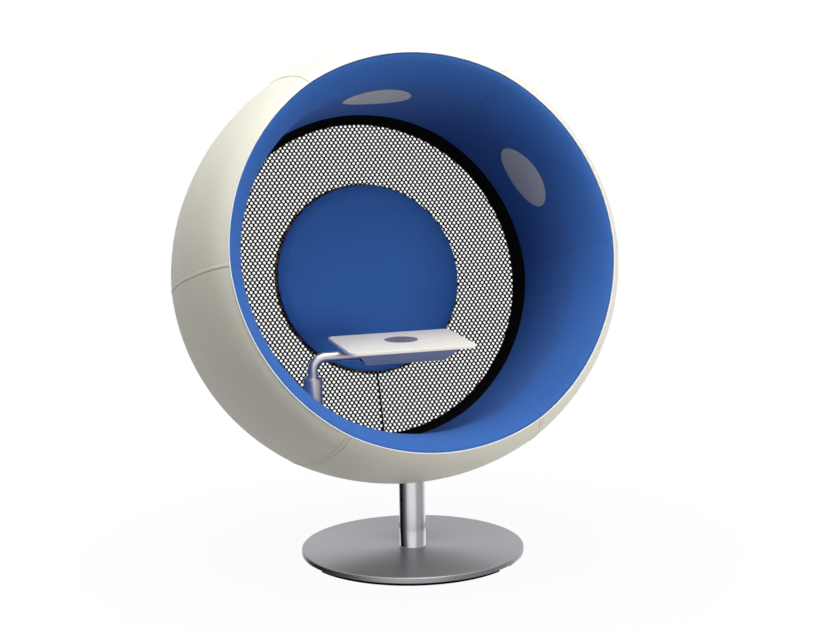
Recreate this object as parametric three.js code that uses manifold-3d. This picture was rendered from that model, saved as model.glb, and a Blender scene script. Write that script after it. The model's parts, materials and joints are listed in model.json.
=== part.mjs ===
// A pod chair: a padded barrel on a turning column, with a table on a swinging arm.
// Millimetres, +Z up, the open side faces -Y. The origin lies on the floor, under the middle of the chair.
// Pod pieces are drawn in the pod's own frame. Its Z is the barrel's axis and points out of the opening,
// a place along it is called a station, and its origin is where that axis crosses the swivel axis.

import * as THREE from 'three';
import { mergeVertices } from 'three/addons/utils/BufferGeometryUtils.js';
import Module from 'manifold-3d';

const wasm = await Module();
wasm.setup();

// Clearances shared by all pieces
const seat = 0.3;              // between faces that touch
const runningFit = 0.4;        // between a shaft and its bush
const slack = 0.9;             // between padding and the frame inside it
const overrun = 20;            // how far a cutting solid runs past what it cuts

// Base
const footHeight = 12.5;
const footWidth = 26;
const footInset = 18;          // from the plate's edge to the foot's outer side
const footCount = 3;
const footSweep = 109.6;       // degrees
const footFacing = 248.3;      // degrees, the middle of the first foot
const plateRadius = 382;
const plateThickness = 19;
const plateChamfer = 1.4;

// Column and spindle
const columnRadius = 45;
const columnWall = 5;
const columnFootGap = 0.8;
const spindleRadius = 25;
const spindleFlangeThickness = 12;
const spindleFlangeMargin = 1;
const spindleHeadroom = 42;    // from the cradle's underside down to the spindle's top
const spindleBoltRadius = 8;
const spindleBoltHeadRadius = 15;
const spindleBoltHeadHeight = 5;
const spindleBoltGrip = 34;
const bearingHeight = 22;
const thrustHeight = 5;
const thrustRadius = 30;
const plugHeight = 8;

// Pod barrel
const podHeight = 1026.6;      // of the pod's origin above the floor
const podTilt = 16;            // degrees, how far the opening looks up
const podRadius = 750;
const widestStation = -177;
const profileRadius = 1260;    // of the barrel's bulge, seen from the side
const shoulderInset = 82;      // from the barrel's widest place in to the rim
const rimRadius = podRadius - shoulderInset;
const rimStation = 200;
const shoulderStation = 150;
const shoulderReach = 5;       // how far the padded edge runs ahead of the piping
const lipWidth = 76;           // from the rim in to the narrowest place
const lipRadius = rimRadius - lipWidth;
const lipDepth = 200;          // from the rim back to the narrowest place
const liningBulge = 6;
const rearSeamStation = -462;
const rearStation = -506;
const coverThickness = 40;
const liningThickness = 30;
const partingDepth = 60;
const panelCount = 6;
const panelFlattening = 3.5;   // how far a panel's middle falls short of the round
const stepsPerPanel = 6;
const pipingRadius = 2;
const pipingTape = 3.4;
const pipingDepth = 18;
const pipingOpening = Math.PI / 8;   // of the bead, below its middle on both sides

// Back of the pod
const wallTaper = 3;           // how far the wall closes in on its way back
const ringRadius = lipRadius - wallTaper;
const ringStation = -414;
const ringWidth = 29;
const ringInnerRadius = ringRadius - ringWidth;
const ringEdge = 5;            // thickness of the back ring at its inner edge
const netStation = -455;
const netThickness = 4;
const netGrip = 36;            // how far the net runs in between its two rings
const netPitch = 74;           // across, from gap to gap in a row
const netRowPitch = 50;
const netGapRadius = 23;
const netGapSides = 6;
const netMargin = 6;           // least strip between a gap and the edge it lies next to
const clampThickness = 11;
const rearInnerRadius = ringInnerRadius + ringWidth / 2;
const rearEdgeStart = 10;      // how far the rear edge's curve leans in at its start
const padRadius = 350;
const padThickness = 30;
const padEdge = 16;            // thickness of the pad at its edge
const padEdgeInset = 4;        // how far the pad's back face stops short of its edge
const padShoulder = 40;        // how far in from its edge the pad still rises
const boardInset = 7;
const boardRadius = padRadius - boardInset;
const boardThickness = 8;
const driverRadius = 62;
const driverMagnetRadius = 46;
const driverHeight = 34;
const driverRimHeight = 8;
const terminalWidth = 30;
const terminalHeight = 14;
const terminalReach = 18;      // out of the driver's round
const terminalRoot = 31;       // how far out from the middle it starts
const leadRadius = 3;
const leadStep = 40;           // length of the bend over the board's edge
const leadEdgeGap = 9;         // from the board's edge to where that bend starts
const leadSides = 8;

// Frame inside the padding
const hoopInset = 13;          // from the rim in to the hoops' tube
const hoopCentreRadius = rimRadius - hoopInset;
const hoopTubeRadius = 11;
const frontHoopStation = 60;
const rearHoopStation = -430;
const hoopHoleClearance = 1.2;
const ribThickness = 12;
const ribFrontStation = 120;
const cradleHalfWidth = 110;
const cradleThickness = 10;
const hubRadius = 65;
const hubReach = 30;           // from the cradle plate down the column
const hubFlangeRadius = 100;
const hubFlangeThickness = 8;

// Loudspeakers, amplifier and inlet
const speakerAngles = { right: 29, top: 90, left: 151 };   // degrees
const speakerStation = -148;
const grilleRadius = 120;
const grilleThickness = 5;
const speakerFlangeRadius = 135;
const speakerFlangeThickness = 4;
const speakerBasketRadius = 108;
const speakerMagnetRadius = 48;
const speakerMagnetDepth = 24;
const speakerDepth = 62;
const speakerSink = 12;        // how far the basket reaches into the lining's hole
const amplifierAngle = -60;    // of the rib that it is fixed to
const amplifierWidth = 140;
const amplifierHeight = 38;
const amplifierLength = 200;
const amplifierStation = -230;
const amplifierGap = 12;       // from the lining's back
const inletAngle = -75;
const inletWidth = 50;
const inletHeight = 24;
const inletDepth = 52;

// Arm
const armY = -25;              // of the post, from the swivel axis
const armOffset = 41.5;        // from the post to the rib that carries it, on the sleeve's foot
const armSwingAtRest = -3;     // degrees
const armRadius = 17;
const armWall = 2.5;
const armBendRadius = 45;
const tableAboveSeat = 324.4;  // from the wall's lowest place up to the table's face
const tableTopHeight = podHeight - lipRadius + tableAboveSeat;
const armDrop = 38;            // from the table's face down to the arm's level axis
const armAxisHeight = tableTopHeight - armDrop;
const armReach = 372;          // level length, from the post's axis to the end
const sleeveRadius = 32;
const sleeveWall = 3;
const sleeveDrop = 73;         // from the arm's level axis down to the sleeve's top
const sleeveTop = armAxisHeight - sleeveDrop;
const collarThickness = 4;
const collarSpigot = 20;
const sleeveFootWidth = 92;
const sleeveFootLength = 120;
const sleeveFootThickness = 8;
const sleeveFootGap = 11;      // from the lining's back
const sleeveFootRadius = lipRadius + liningThickness + sleeveFootGap;
const armFootRib = -120;       // degrees, the rib that carries the sleeve
const pistonGap = 38;          // from the sleeve's foot up to the piston
const pistonHeight = 12;
const pistonSpigot = 16;
const armPlugDepth = 14;
const armPlugHead = 3;

// Table
const tableLength = 435;
const tableDepth = 323;
const tableThickness = 11.5;
const tableCornerRadius = 26;
const tableEdgeRadius = 2;
const tableAlong = 308;        // from the post's axis to the table's middle
const tableDiscRadius = 57;
const tableDiscThickness = 2;
const tableDiscBack = 20;      // from the table's middle towards the sitter
const tableDiscRight = 6;
const housingDepth = 47;
const housingSheet = 2;
const housingInset = 18;       // from the table's long edges
const housingSetback = 50;     // how far its long walls slope in
const housingEndSlope = 42;    // how far its ends slope in
const housingLeftInset = 31;
const housingRightInset = 52;
const housingFlange = 14;
const tiltBlockLength = 26;
const tiltBlockWidth = 44;
const tiltBlockInset = 64;     // from the housing's ends

// Fineness of round shapes
const fineSteps = 36;
const plateSteps = 48;
const roundSteps = 20;
const tubeSides = 16;
const hoopSteps = 36;
const hoopSides = 6;
const holeSteps = 10;
const profileSteps = 6;
const curveSteps = 4;
const footSteps = 12;
const elbowSteps = 10;         // the first and the last of them are the arm's straight stretches
const leadSteps = 14;
const discSteps = 18;

const radians = THREE.MathUtils.degToRad;
const fullTurn = 360;
const quarterTurn = Math.PI / 2;
const panelSweep = fullTurn / panelCount;
const farOut = 2 * podRadius;

// Solids

function closedMesh(geometry) {
  const plain = geometry.index ? geometry : mergeVertices(geometry);
  for (const name of Object.keys(plain.attributes)) {
    if (name !== 'position') plain.deleteAttribute(name);
  }
  return mergeVertices(plain);
}

function solidOf(geometry) {
  const mesh = closedMesh(geometry);
  const vertProperties = Float32Array.from(mesh.attributes.position.array);
  const triVerts = Uint32Array.from(mesh.index.array);
  const solid = new wasm.Manifold(new wasm.Mesh({ numProp: 3, vertProperties, triVerts }));
  if (solid.volume() > 0) return solid;
  for (let i = 0; i < triVerts.length; i += 3) {
    [triVerts[i], triVerts[i + 1]] = [triVerts[i + 1], triVerts[i]];
  }
  return new wasm.Manifold(new wasm.Mesh({ numProp: 3, vertProperties, triVerts }));
}

function geometryOf(solid) {
  const mesh = solid.getMesh();
  const geometry = new THREE.BufferGeometry();
  geometry.setAttribute('position', new THREE.BufferAttribute(Float32Array.from(mesh.vertProperties), 3));
  geometry.setIndex(new THREE.BufferAttribute(Uint32Array.from(mesh.triVerts), 1));
  return geometry;
}

function cut(solid, ...tools) {
  return tools.reduce((rest, tool) => rest.subtract(tool), solid);
}

function join(solid, ...others) {
  return others.reduce((whole, other) => whole.add(other), solid);
}

// A closed outline of [radius, height] points turned about the Z axis
function turned(outline, steps) {
  const points = shapePoints(outline);
  const onAxis = points[0].x === 0 && points[points.length - 1].x === 0;
  if (!onAxis) points.push(points[0].clone());
  return new THREE.LatheGeometry(points, steps).rotateX(quarterTurn);
}

function ringOutline(inner, outer, low, high) {
  return [[inner, low], [outer, low], [outer, high], [inner, high]];
}

function shapePoints(outline) {
  return outline.map(([x, y]) => new THREE.Vector2(x, y));
}

// A flat outline of [x, y] points raised from one height to another
function raised(outline, low, high, holes = []) {
  const shape = new THREE.Shape(shapePoints(outline));
  for (const hole of holes) {
    shape.holes.push(new THREE.Path(shapePoints(hole)));
  }
  const geometry = new THREE.ExtrudeGeometry(shape, { depth: high - low, bevelEnabled: false });
  return geometry.translate(0, 0, low);
}

// An upright cylinder on the Z axis
function pillar(radius, low, high, steps = roundSteps) {
  return turned([[0, low], [radius, low], [radius, high], [0, high]], steps);
}

function pipe(inner, outer, low, high) {
  return turned(ringOutline(inner, outer, low, high), fineSteps);
}

function block(lowX, highX, lowY, highY, lowZ, highZ) {
  const box = new THREE.BoxGeometry(highX - lowX, highY - lowY, highZ - lowZ);
  return box.translate((lowX + highX) / 2, (lowY + highY) / 2, (lowZ + highZ) / 2);
}

function curvePoints(curve, steps) {
  return curve.getPoints(steps).map((point) => [point.x, point.y]);
}

// Frames

const podFrame = new THREE.Group();
podFrame.rotation.x = quarterTurn - radians(podTilt);
podFrame.position.z = podHeight;
podFrame.updateMatrixWorld(true);
const intoPod = podFrame.matrixWorld.clone().invert();

// The station where a plane square to the pod's upright axis crosses the swivel axis
function stationOnSwivel(upright) {
  return upright * Math.tan(radians(podTilt));
}

// Turns a shape drawn with X pointing out from the pod's axis round to an angle
function aroundPod(geometry, angle) {
  return geometry.rotateZ(radians(angle));
}

// The post's place, from the rib that carries it: sideways, up the pod and along it
const footTurn = radians(armFootRib);
const podLean = radians(podTilt);
const armX = sleeveFootRadius * Math.cos(footTurn) + armOffset * Math.sin(footTurn);
const postUpright = sleeveFootRadius * Math.sin(footTurn) - armOffset * Math.cos(footTurn);
const postStation = (postUpright * Math.sin(podLean) - armY) / Math.cos(podLean);
const postFoot = podHeight + postUpright * Math.cos(podLean) + postStation * Math.sin(podLean);

// Profile of the pod

function outerRadius(station) {
  const along = station - widestStation;
  return podRadius - profileRadius + Math.sqrt(profileRadius ** 2 - along ** 2);
}

function stations(from, to, steps) {
  return Array.from({ length: steps + 1 }, (_, i) => from + ((to - from) * i) / steps);
}

const partingStation = rimStation - partingDepth;
const halfParting = pipingTape / 2 + seat;
const coverEdge = rimRadius + halfParting;
const liningEdge = rimRadius - halfParting;
const lipStation = rimStation - lipDepth;

function liningRadius(station) {
  const share = (station - lipStation) / (ringStation - lipStation);
  const straight = lipRadius + (ringRadius - lipRadius) * share;
  return straight + liningBulge * Math.sin(Math.PI * share);
}

const shoulder = new THREE.QuadraticBezierCurve(
  new THREE.Vector2(outerRadius(shoulderStation), shoulderStation),
  new THREE.Vector2(outerRadius(rimStation), rimStation + shoulderReach),
  new THREE.Vector2(coverEdge, rimStation),
);

const lipFullness = { width: 5 / 16, depth: 2 / 5 };   // shares of the lip's width and depth
const lip = new THREE.CubicBezierCurve(
  new THREE.Vector2(liningEdge, rimStation),
  new THREE.Vector2(liningEdge - lipWidth * lipFullness.width, rimStation),
  new THREE.Vector2(lipRadius, rimStation - lipDepth * lipFullness.depth),
  new THREE.Vector2(lipRadius, lipStation),
);

function coverInside(station) {
  return outerRadius(station) - coverThickness;
}

function coverOutline() {
  const outside = stations(rearSeamStation, shoulderStation, profileSteps).map((s) => [outerRadius(s), s]);
  const edge = curvePoints(shoulder, curveSteps).slice(1);
  const inside = stations(ribFrontStation, rearSeamStation, curveSteps).map((s) => [coverInside(s), s]);
  return [...outside, ...edge, [coverEdge, partingStation], ...inside];
}

function liningOutline() {
  const front = curvePoints(lip, profileSteps);
  const wall = stations(lipStation, ringStation + seat, curveSteps).slice(1).map((s) => [liningRadius(s), s]);
  const outside = stations(ringStation + seat, lipStation, curveSteps)
    .map((s) => [liningRadius(s) + liningThickness, s]);
  return [...front, ...wall, ...outside, [liningEdge, partingStation]];
}

// Pulls the middle of each panel in, so that the ring is a little six-sided
function flattened(geometry) {
  const position = geometry.attributes.position;
  for (let i = 0; i < position.count; i += 1) {
    const x = position.getX(i);
    const y = position.getY(i);
    const radius = Math.hypot(x, y);
    const turn = THREE.MathUtils.euclideanModulo(THREE.MathUtils.radToDeg(Math.atan2(y, x)), panelSweep);
    const pulled = radius - panelFlattening * Math.sin((Math.PI * turn) / panelSweep);
    position.setXY(i, (x * pulled) / radius, (y * pulled) / radius);
  }
  return geometry;
}

// The wedge of one panel, a touching gap short of the seams on both sides
function panelWedge(index) {
  const half = radians(panelSweep / 2);
  const start = seat / Math.sin(half);
  const reach = farOut * Math.tan(half);
  const outline = [[start, 0], [start + farOut, -reach], [start + farOut, reach]];
  const wedge = raised(outline, rearStation - overrun, rimStation + shoulderReach + overrun);
  return solidOf(aroundPod(wedge, (index + 1 / 2) * panelSweep));
}

function speakerCutter(radius, angle) {
  const cylinder = new THREE.CylinderGeometry(radius, radius, coverInside(widestStation), roundSteps);
  cylinder.rotateZ(quarterTurn).translate(coverInside(widestStation) / 2 + lipRadius / 2, 0, speakerStation);
  return solidOf(aroundPod(cylinder, angle));
}

// Materials

function finish(color, roughness, metalness = 0) {
  return new THREE.MeshStandardMaterial({ color, roughness, metalness });
}

const coverLeather = finish(0xe9e6dc, 0.55);
const liningCloth = finish(0x2f6cc0, 0.9);
const padCloth = finish(0x2a5fae, 0.9);
const pipingCloth = finish(0xf2efe6, 0.6);
const blackRing = finish(0x0d0d0f, 0.5);
const netBlack = finish(0x101012, 0.7);
const grilleGrey = finish(0x7b8492, 0.85);
const rubber = finish(0x141414, 0.9);
const plateSteel = finish(0x9b9da1, 0.35, 1);
const satinSteel = finish(0xb9bbc0, 0.3, 1);
const frameSteel = finish(0x33363a, 0.5, 1);
const plywood = finish(0xb08a5a, 0.8);
const bronze = finish(0xa8813f, 0.4, 1);
const tableCream = finish(0xe4ded2, 0.5);
const tableMetal = finish(0x7a86a3, 0.3, 1);
const blackPlastic = finish(0x18191b, 0.6);

const chair = new THREE.Group();
chair.add(podFrame);

function addPiece(name, solid, material, parent = chair) {
  const piece = new THREE.Mesh(geometryOf(solid), material);
  piece.name = name;
  parent.add(piece);
  return piece;
}

// Base

const plateTop = footHeight + plateThickness;
const cradleTop = -hoopCentreRadius + cradleThickness / 2;
const cradleUnderside = cradleTop - cradleThickness;
const spindleTop = podHeight + cradleUnderside / Math.cos(radians(podTilt)) - spindleHeadroom;

function makeBase() {
  const low = footHeight;
  const plate = solidOf(turned([
    [0, low], [plateRadius - plateChamfer, low], [plateRadius, low + plateChamfer],
    [plateRadius, plateTop - plateChamfer], [plateRadius - plateChamfer, plateTop], [0, plateTop],
  ], plateSteps));
  const headTop = low + spindleBoltHeadHeight;
  const boltHole = pillar(spindleBoltRadius + seat, low - overrun, plateTop + overrun);
  const headHole = pillar(spindleBoltHeadRadius + seat, low - overrun, headTop + seat);
  addPiece('base_plate', cut(plate, solidOf(boltHole), solidOf(headHole)), plateSteel);

  const boltTop = headTop + spindleBoltGrip;
  const bolt = solidOf(turned([
    [0, low + seat], [spindleBoltHeadRadius, low + seat], [spindleBoltHeadRadius, headTop],
    [spindleBoltRadius, headTop], [spindleBoltRadius, boltTop], [0, boltTop],
  ], roundSteps));
  addPiece('spindle_bolt', bolt, satinSteel);

  const flangeRadius = columnRadius - columnWall - spindleFlangeMargin;
  const spindleFoot = plateTop + seat;
  const spindle = solidOf(turned([
    [0, spindleFoot], [flangeRadius, spindleFoot], [flangeRadius, spindleFoot + spindleFlangeThickness],
    [spindleRadius, spindleFoot + spindleFlangeThickness], [spindleRadius, spindleTop], [0, spindleTop],
  ], roundSteps));
  const thread = pillar(spindleBoltRadius + seat, low, boltTop + seat);
  addPiece('spindle', cut(spindle, solidOf(thread)), frameSteel);

  const footOuter = plateRadius - footInset;
  for (let i = 0; i < footCount; i += 1) {
    const middle = footFacing + (fullTurn / footCount) * i;
    const angles = stations(middle - footSweep / 2, middle + footSweep / 2, footSteps).map(radians);
    const outside = angles.map((a) => [footOuter * Math.cos(a), footOuter * Math.sin(a)]);
    const inner = footOuter - footWidth;
    const inside = angles.reverse().map((a) => [inner * Math.cos(a), inner * Math.sin(a)]);
    addPiece(`base_foot_${i + 1}`, solidOf(raised([...outside, ...inside], 0, footHeight - seat)), rubber);
  }
}

// Column, its bearings and the cradle that it carries

function makeColumn() {
  const bore = columnRadius - columnWall;
  const cradleHeight = podHeight + cradleUnderside;
  const aboveCradle = block(-farOut, farOut, cradleUnderside - seat, farOut, -farOut, farOut);
  const aboveCradleSolid = solidOf(aboveCradle.applyMatrix4(podFrame.matrixWorld));
  const columnFoot = plateTop + columnFootGap;
  const tube = solidOf(pipe(bore, columnRadius, columnFoot, cradleHeight + columnRadius));
  addPiece('column_tube', cut(tube, aboveCradleSolid), satinSteel);

  const inner = spindleRadius + runningFit;
  const outer = bore - runningFit;
  const lowerFoot = plateTop + spindleFlangeThickness + 2 * seat;
  const upperFoot = spindleTop - bearingHeight;
  addPiece('lower_bearing', solidOf(pipe(inner, outer, lowerFoot, lowerFoot + bearingHeight)), bronze);
  addPiece('upper_bearing', solidOf(pipe(inner, outer, upperFoot, spindleTop)), bronze);
  const thrustFoot = spindleTop + seat;
  const plugFoot = thrustFoot + thrustHeight + seat;
  addPiece('thrust_bearing', solidOf(pillar(thrustRadius, thrustFoot, thrustFoot + thrustHeight)), bronze);
  addPiece('column_plug', solidOf(pillar(outer, plugFoot, plugFoot + plugHeight)), frameSteel);

  const swivelStation = stationOnSwivel(cradleUnderside);
  const long = pillar(hubRadius, 0, podHeight).applyMatrix4(intoPod);
  const slabTop = cradleUnderside - seat;
  const slab = block(-farOut, farOut, cradleUnderside - hubReach, slabTop, -farOut, farOut);
  const flange = new THREE.CylinderGeometry(hubFlangeRadius, hubFlangeRadius, hubFlangeThickness, roundSteps);
  flange.translate(0, slabTop - hubFlangeThickness / 2, swivelStation);
  const hole = pillar(columnRadius + slack, 0, podHeight).applyMatrix4(intoPod);
  const collar = solidOf(long).intersect(solidOf(slab));
  addPiece('cradle_hub', cut(join(collar, solidOf(flange)), solidOf(hole)), frameSteel, podFrame);

  const hoopReach = hoopTubeRadius + seat;
  const plate = block(-cradleHalfWidth, cradleHalfWidth, cradleUnderside, cradleTop,
    rearHoopStation + hoopReach, frontHoopStation - hoopReach);
  addPiece('cradle_plate', solidOf(plate), frameSteel, podFrame);
}

// Hoops and ribs inside the padding

function hoop(station, radius = hoopTubeRadius) {
  return new THREE.TorusGeometry(hoopCentreRadius, radius, hoopSides, hoopSteps).translate(0, 0, station);
}

function ribOutline() {
  const rear = rearSeamStation + slack;
  const outside = stations(rear, ribFrontStation, curveSteps).map((s) => [coverInside(s) - slack, s]);
  const backRim = liningRadius(ringStation) + liningThickness + slack;
  const inside = stations(lipStation, ringStation, curveSteps)
    .map((s) => [liningRadius(s) + liningThickness + slack, s]);
  const frontInner = liningEdge + slack - (ribFrontStation < partingStation ? slopeAt(ribFrontStation) : 0);
  return [...outside, [frontInner, ribFrontStation], ...inside, [backRim, rear]];
}

// How far the lining's outer side has come in from its edge at a station behind the parting
function slopeAt(station) {
  const share = (partingStation - station) / (partingStation - lipStation);
  return (liningEdge - (lipRadius + liningThickness)) * share;
}

// The room that the arm's sleeve needs in the rib that carries it, drawn in the rib's own frame
function sleeveNotch() {
  const sleeve = pillar(sleeveRadius + slack, 0, sleeveTop).translate(armX, armY, 0);
  const besideRib = aroundPod(sleeve.applyMatrix4(intoPod), -armFootRib);
  const foot = sleeveFootRadius + sleeveFootThickness / 2;
  return cut(solidOf(besideRib), solidOf(block(foot, farOut, -farOut, farOut, -farOut, farOut)));
}

function makeFrame() {
  addPiece('front_hoop', solidOf(hoop(frontHoopStation)), frameSteel, podFrame);
  addPiece('rear_hoop', solidOf(hoop(rearHoopStation)), frameSteel, podFrame);
  for (let i = 0; i < panelCount; i += 1) {
    const plate = raised(ribOutline(), -ribThickness / 2, ribThickness / 2).rotateX(quarterTurn);
    const holes = [frontHoopStation, rearHoopStation].map((station) => {
      const radius = hoopTubeRadius + hoopHoleClearance;
      const pin = new THREE.CylinderGeometry(radius, radius, ribThickness + overrun, holeSteps);
      return solidOf(pin.translate(hoopCentreRadius, 0, station));
    });
    const notches = (panelSweep * i - armFootRib) % 360 === 0 ? [sleeveNotch()] : [];
    const rib = cut(solidOf(plate), ...holes, ...notches);
    const piece = addPiece(`frame_rib_${i + 1}`, rib, plywood, podFrame);
    piece.rotation.z = radians(panelSweep * i);
  }
}

// Padding

function makePadding() {
  const cover = solidOf(flattened(turned(coverOutline(), stepsPerPanel * panelCount)));
  const lining = solidOf(flattened(turned(liningOutline(), stepsPerPanel * panelCount)));
  const columnHole = pillar(columnRadius + slack, 0, podHeight).applyMatrix4(intoPod);
  const coverCut = cut(cover, solidOf(columnHole));
  const sleeveHole = pillar(sleeveRadius + slack, 0, sleeveTop).translate(armX, armY, 0);
  const speakerHoles = Object.values(speakerAngles)
    .map((angle) => speakerCutter(grilleRadius + slack, angle));
  const liningCut = cut(lining, solidOf(sleeveHole.applyMatrix4(intoPod)), ...speakerHoles);
  for (let i = 0; i < panelCount; i += 1) {
    addPiece(`cover_panel_${i + 1}`, coverCut.intersect(panelWedge(i)), coverLeather, podFrame);
    addPiece(`lining_panel_${i + 1}`, liningCut.intersect(panelWedge(i)), liningCloth, podFrame);
  }

  // A round bead on a tape that is held between the cover and the lining
  const neck = rimStation + seat;
  const bead = stations(-pipingOpening, 2 * quarterTurn + pipingOpening, curveSteps).map((turn) => [
    rimRadius + pipingRadius * Math.cos(turn), neck + pipingRadius * (1 + Math.sin(turn)),
  ]);
  const tapeFoot = rimStation - pipingDepth;
  const tapeInner = rimRadius - pipingTape / 2;
  const tapeOuter = rimRadius + pipingTape / 2;
  const piping = [
    [tapeInner, tapeFoot], [tapeOuter, tapeFoot], [tapeOuter, neck], ...bead, [tapeInner, neck],
  ];
  const pipingRing = flattened(turned(piping, stepsPerPanel * panelCount));
  addPiece('front_piping', solidOf(pipingRing), pipingCloth, podFrame);

  const clampRear = netStation - netThickness - 2 * seat - clampThickness;
  const stepRadius = ringRadius + liningThickness + panelFlattening + seat;
  const rearFace = rearSeamStation - seat;
  const rearRadius = outerRadius(rearFace);
  const edge = new THREE.CubicBezierCurve(
    new THREE.Vector2(rearRadius, rearFace),
    new THREE.Vector2(rearRadius - rearEdgeStart, rearStation),
    new THREE.Vector2(rearRadius - coverThickness, rearStation),
    new THREE.Vector2(rearInnerRadius, (rearStation + clampRear) / 2),
  );
  const rearOutline = [
    ...curvePoints(edge, profileSteps), [rearInnerRadius, clampRear - seat],
    [stepRadius, clampRear - seat], [stepRadius, rearFace],
  ];
  const rearRing = solidOf(flattened(turned(rearOutline, stepsPerPanel * panelCount)));
  addPiece('rear_cover', cut(rearRing, inletBlock(slack)), coverLeather, podFrame);
}

// Net, its rings and the pad in its middle

// Middles of the net's gaps between two radii, in rows that are staggered by half a pitch
function netGaps(nearest, farthest) {
  const gaps = [];
  const rows = Math.ceil(farthest / netRowPitch);
  const columns = Math.ceil(farthest / netPitch);
  const reach = netGapRadius + netMargin;
  for (let row = -rows; row <= rows; row += 1) {
    const stagger = row % 2 === 0 ? 0 : netPitch / 2;
    for (let column = -columns; column <= columns; column += 1) {
      const x = column * netPitch + stagger;
      const y = row * netRowPitch;
      const away = Math.hypot(x, y);
      if (away - reach > nearest && away + reach < farthest) gaps.push([x, y]);
    }
  }
  return gaps;
}

function circlePoints(radius, sides, [x, y] = [0, 0]) {
  return Array.from({ length: sides }, (_, i) => {
    const turn = (2 * Math.PI * i) / sides;
    return [x + radius * Math.cos(turn), y + radius * Math.sin(turn)];
  });
}

function makeBack() {
  const backRim = ringRadius + liningThickness;
  const netFront = netStation;
  const netRear = netStation - netThickness;
  const ringFront = ringStation - seat;
  const ringRear = netFront + seat;
  const ring = [
    [backRim, ringFront], [ringRadius, ringFront], [ringInnerRadius, ringRear + ringEdge],
    [ringInnerRadius, ringRear], [backRim, ringRear],
  ];
  addPiece('back_ring', solidOf(turned(ring, fineSteps)), blackRing, podFrame);
  const clampFront = netRear - seat;
  const clampRear = clampFront - clampThickness;
  const clamp = pipe(ringInnerRadius, backRim, clampRear, clampFront);
  addPiece('net_clamp_ring', solidOf(clamp), blackRing, podFrame);

  const netOuter = ringInnerRadius + netGrip;
  const holes = netGaps(padRadius, ringInnerRadius)
    .map((centre) => circlePoints(netGapRadius, netGapSides, centre));
  holes.push(circlePoints(padRadius - netGrip, fineSteps));
  const net = raised(circlePoints(netOuter, fineSteps), netRear, netFront, holes);
  addPiece('back_net', solidOf(net), netBlack, podFrame);

  const padRear = netFront + seat;
  const crown = new THREE.CubicBezierCurve(
    new THREE.Vector2(padRadius, padRear + padEdge / 2),
    new THREE.Vector2(padRadius, padRear + padEdge),
    new THREE.Vector2(padRadius - padShoulder, padRear + padThickness),
    new THREE.Vector2(0, padRear + padThickness),
  );
  const pad = [[0, padRear], [padRadius - padEdgeInset, padRear], ...curvePoints(crown, profileSteps)];
  addPiece('back_pad', solidOf(turned(pad, fineSteps)), padCloth, podFrame);

  const boardFront = netRear - seat;
  const boardRear = boardFront - boardThickness;
  addPiece('back_board', solidOf(pillar(boardRadius, boardRear, boardFront, fineSteps)), plywood, podFrame);

  const driverFront = boardRear - seat;
  const rimRear = driverFront - driverRimHeight;
  const driverRear = driverFront - driverHeight;
  const driver = solidOf(turned([
    [0, driverFront], [driverRadius, driverFront], [driverRadius, rimRear], [driverMagnetRadius, rimRear],
    [driverMagnetRadius, driverRear], [0, driverRear],
  ], roundSteps));
  const terminalFoot = driverRadius + terminalReach;
  const terminal = block(-terminalWidth / 2, terminalWidth / 2, -terminalFoot, -terminalRoot,
    driverFront - terminalHeight, driverFront);
  addPiece('pad_driver', join(driver, solidOf(terminal)), blackPlastic, podFrame);

  // The lead runs down the board's back, steps over its edge and follows the net to the clamp ring
  const onBoard = boardRear - seat - leadRadius;
  const onNet = netRear - seat - leadRadius;
  const leadTop = -terminalFoot - seat;
  const leadEnd = -ringInnerRadius + seat;
  const overEdge = -boardRadius - leadEdgeGap;
  const route = new THREE.CatmullRomCurve3([
    [leadTop, onBoard], [leadTop - leadStep, onBoard], [overEdge + leadStep, onBoard],
    [overEdge, onBoard], [overEdge - leadStep, onNet], [overEdge - 2 * leadStep, onNet],
    [leadEnd + leadStep, onNet], [leadEnd, onNet],
  ].map(([y, station]) => new THREE.Vector3(0, y, station)), false, 'centripetal');
  const section = new THREE.Shape(shapePoints(circlePoints(leadRadius, leadSides)));
  const lead = new THREE.ExtrudeGeometry(section, { steps: leadSteps, extrudePath: route });
  addPiece('pad_lead', solidOf(lead), blackPlastic, podFrame);
}

// Loudspeakers, amplifier and mains inlet

function inletBlock(clearance) {
  const half = inletWidth / 2 + clearance;
  const halfHeight = inletHeight / 2 + clearance;
  const box = block(hoopCentreRadius - halfHeight, hoopCentreRadius + halfHeight, -half, half,
    rearStation - clearance - seat, rearStation + inletDepth + clearance);
  return solidOf(aroundPod(box, inletAngle));
}

// A shell that follows the wall of the lining, so far behind its face
function liningShell(behind, thickness) {
  const inside = stations(lipStation, ringStation + seat, curveSteps)
    .map((s) => [liningRadius(s) + behind, s]);
  const outside = inside.map(([radius, s]) => [radius + thickness, s]).reverse();
  return solidOf(flattened(turned([...inside, ...outside], stepsPerPanel * panelCount)));
}

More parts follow.
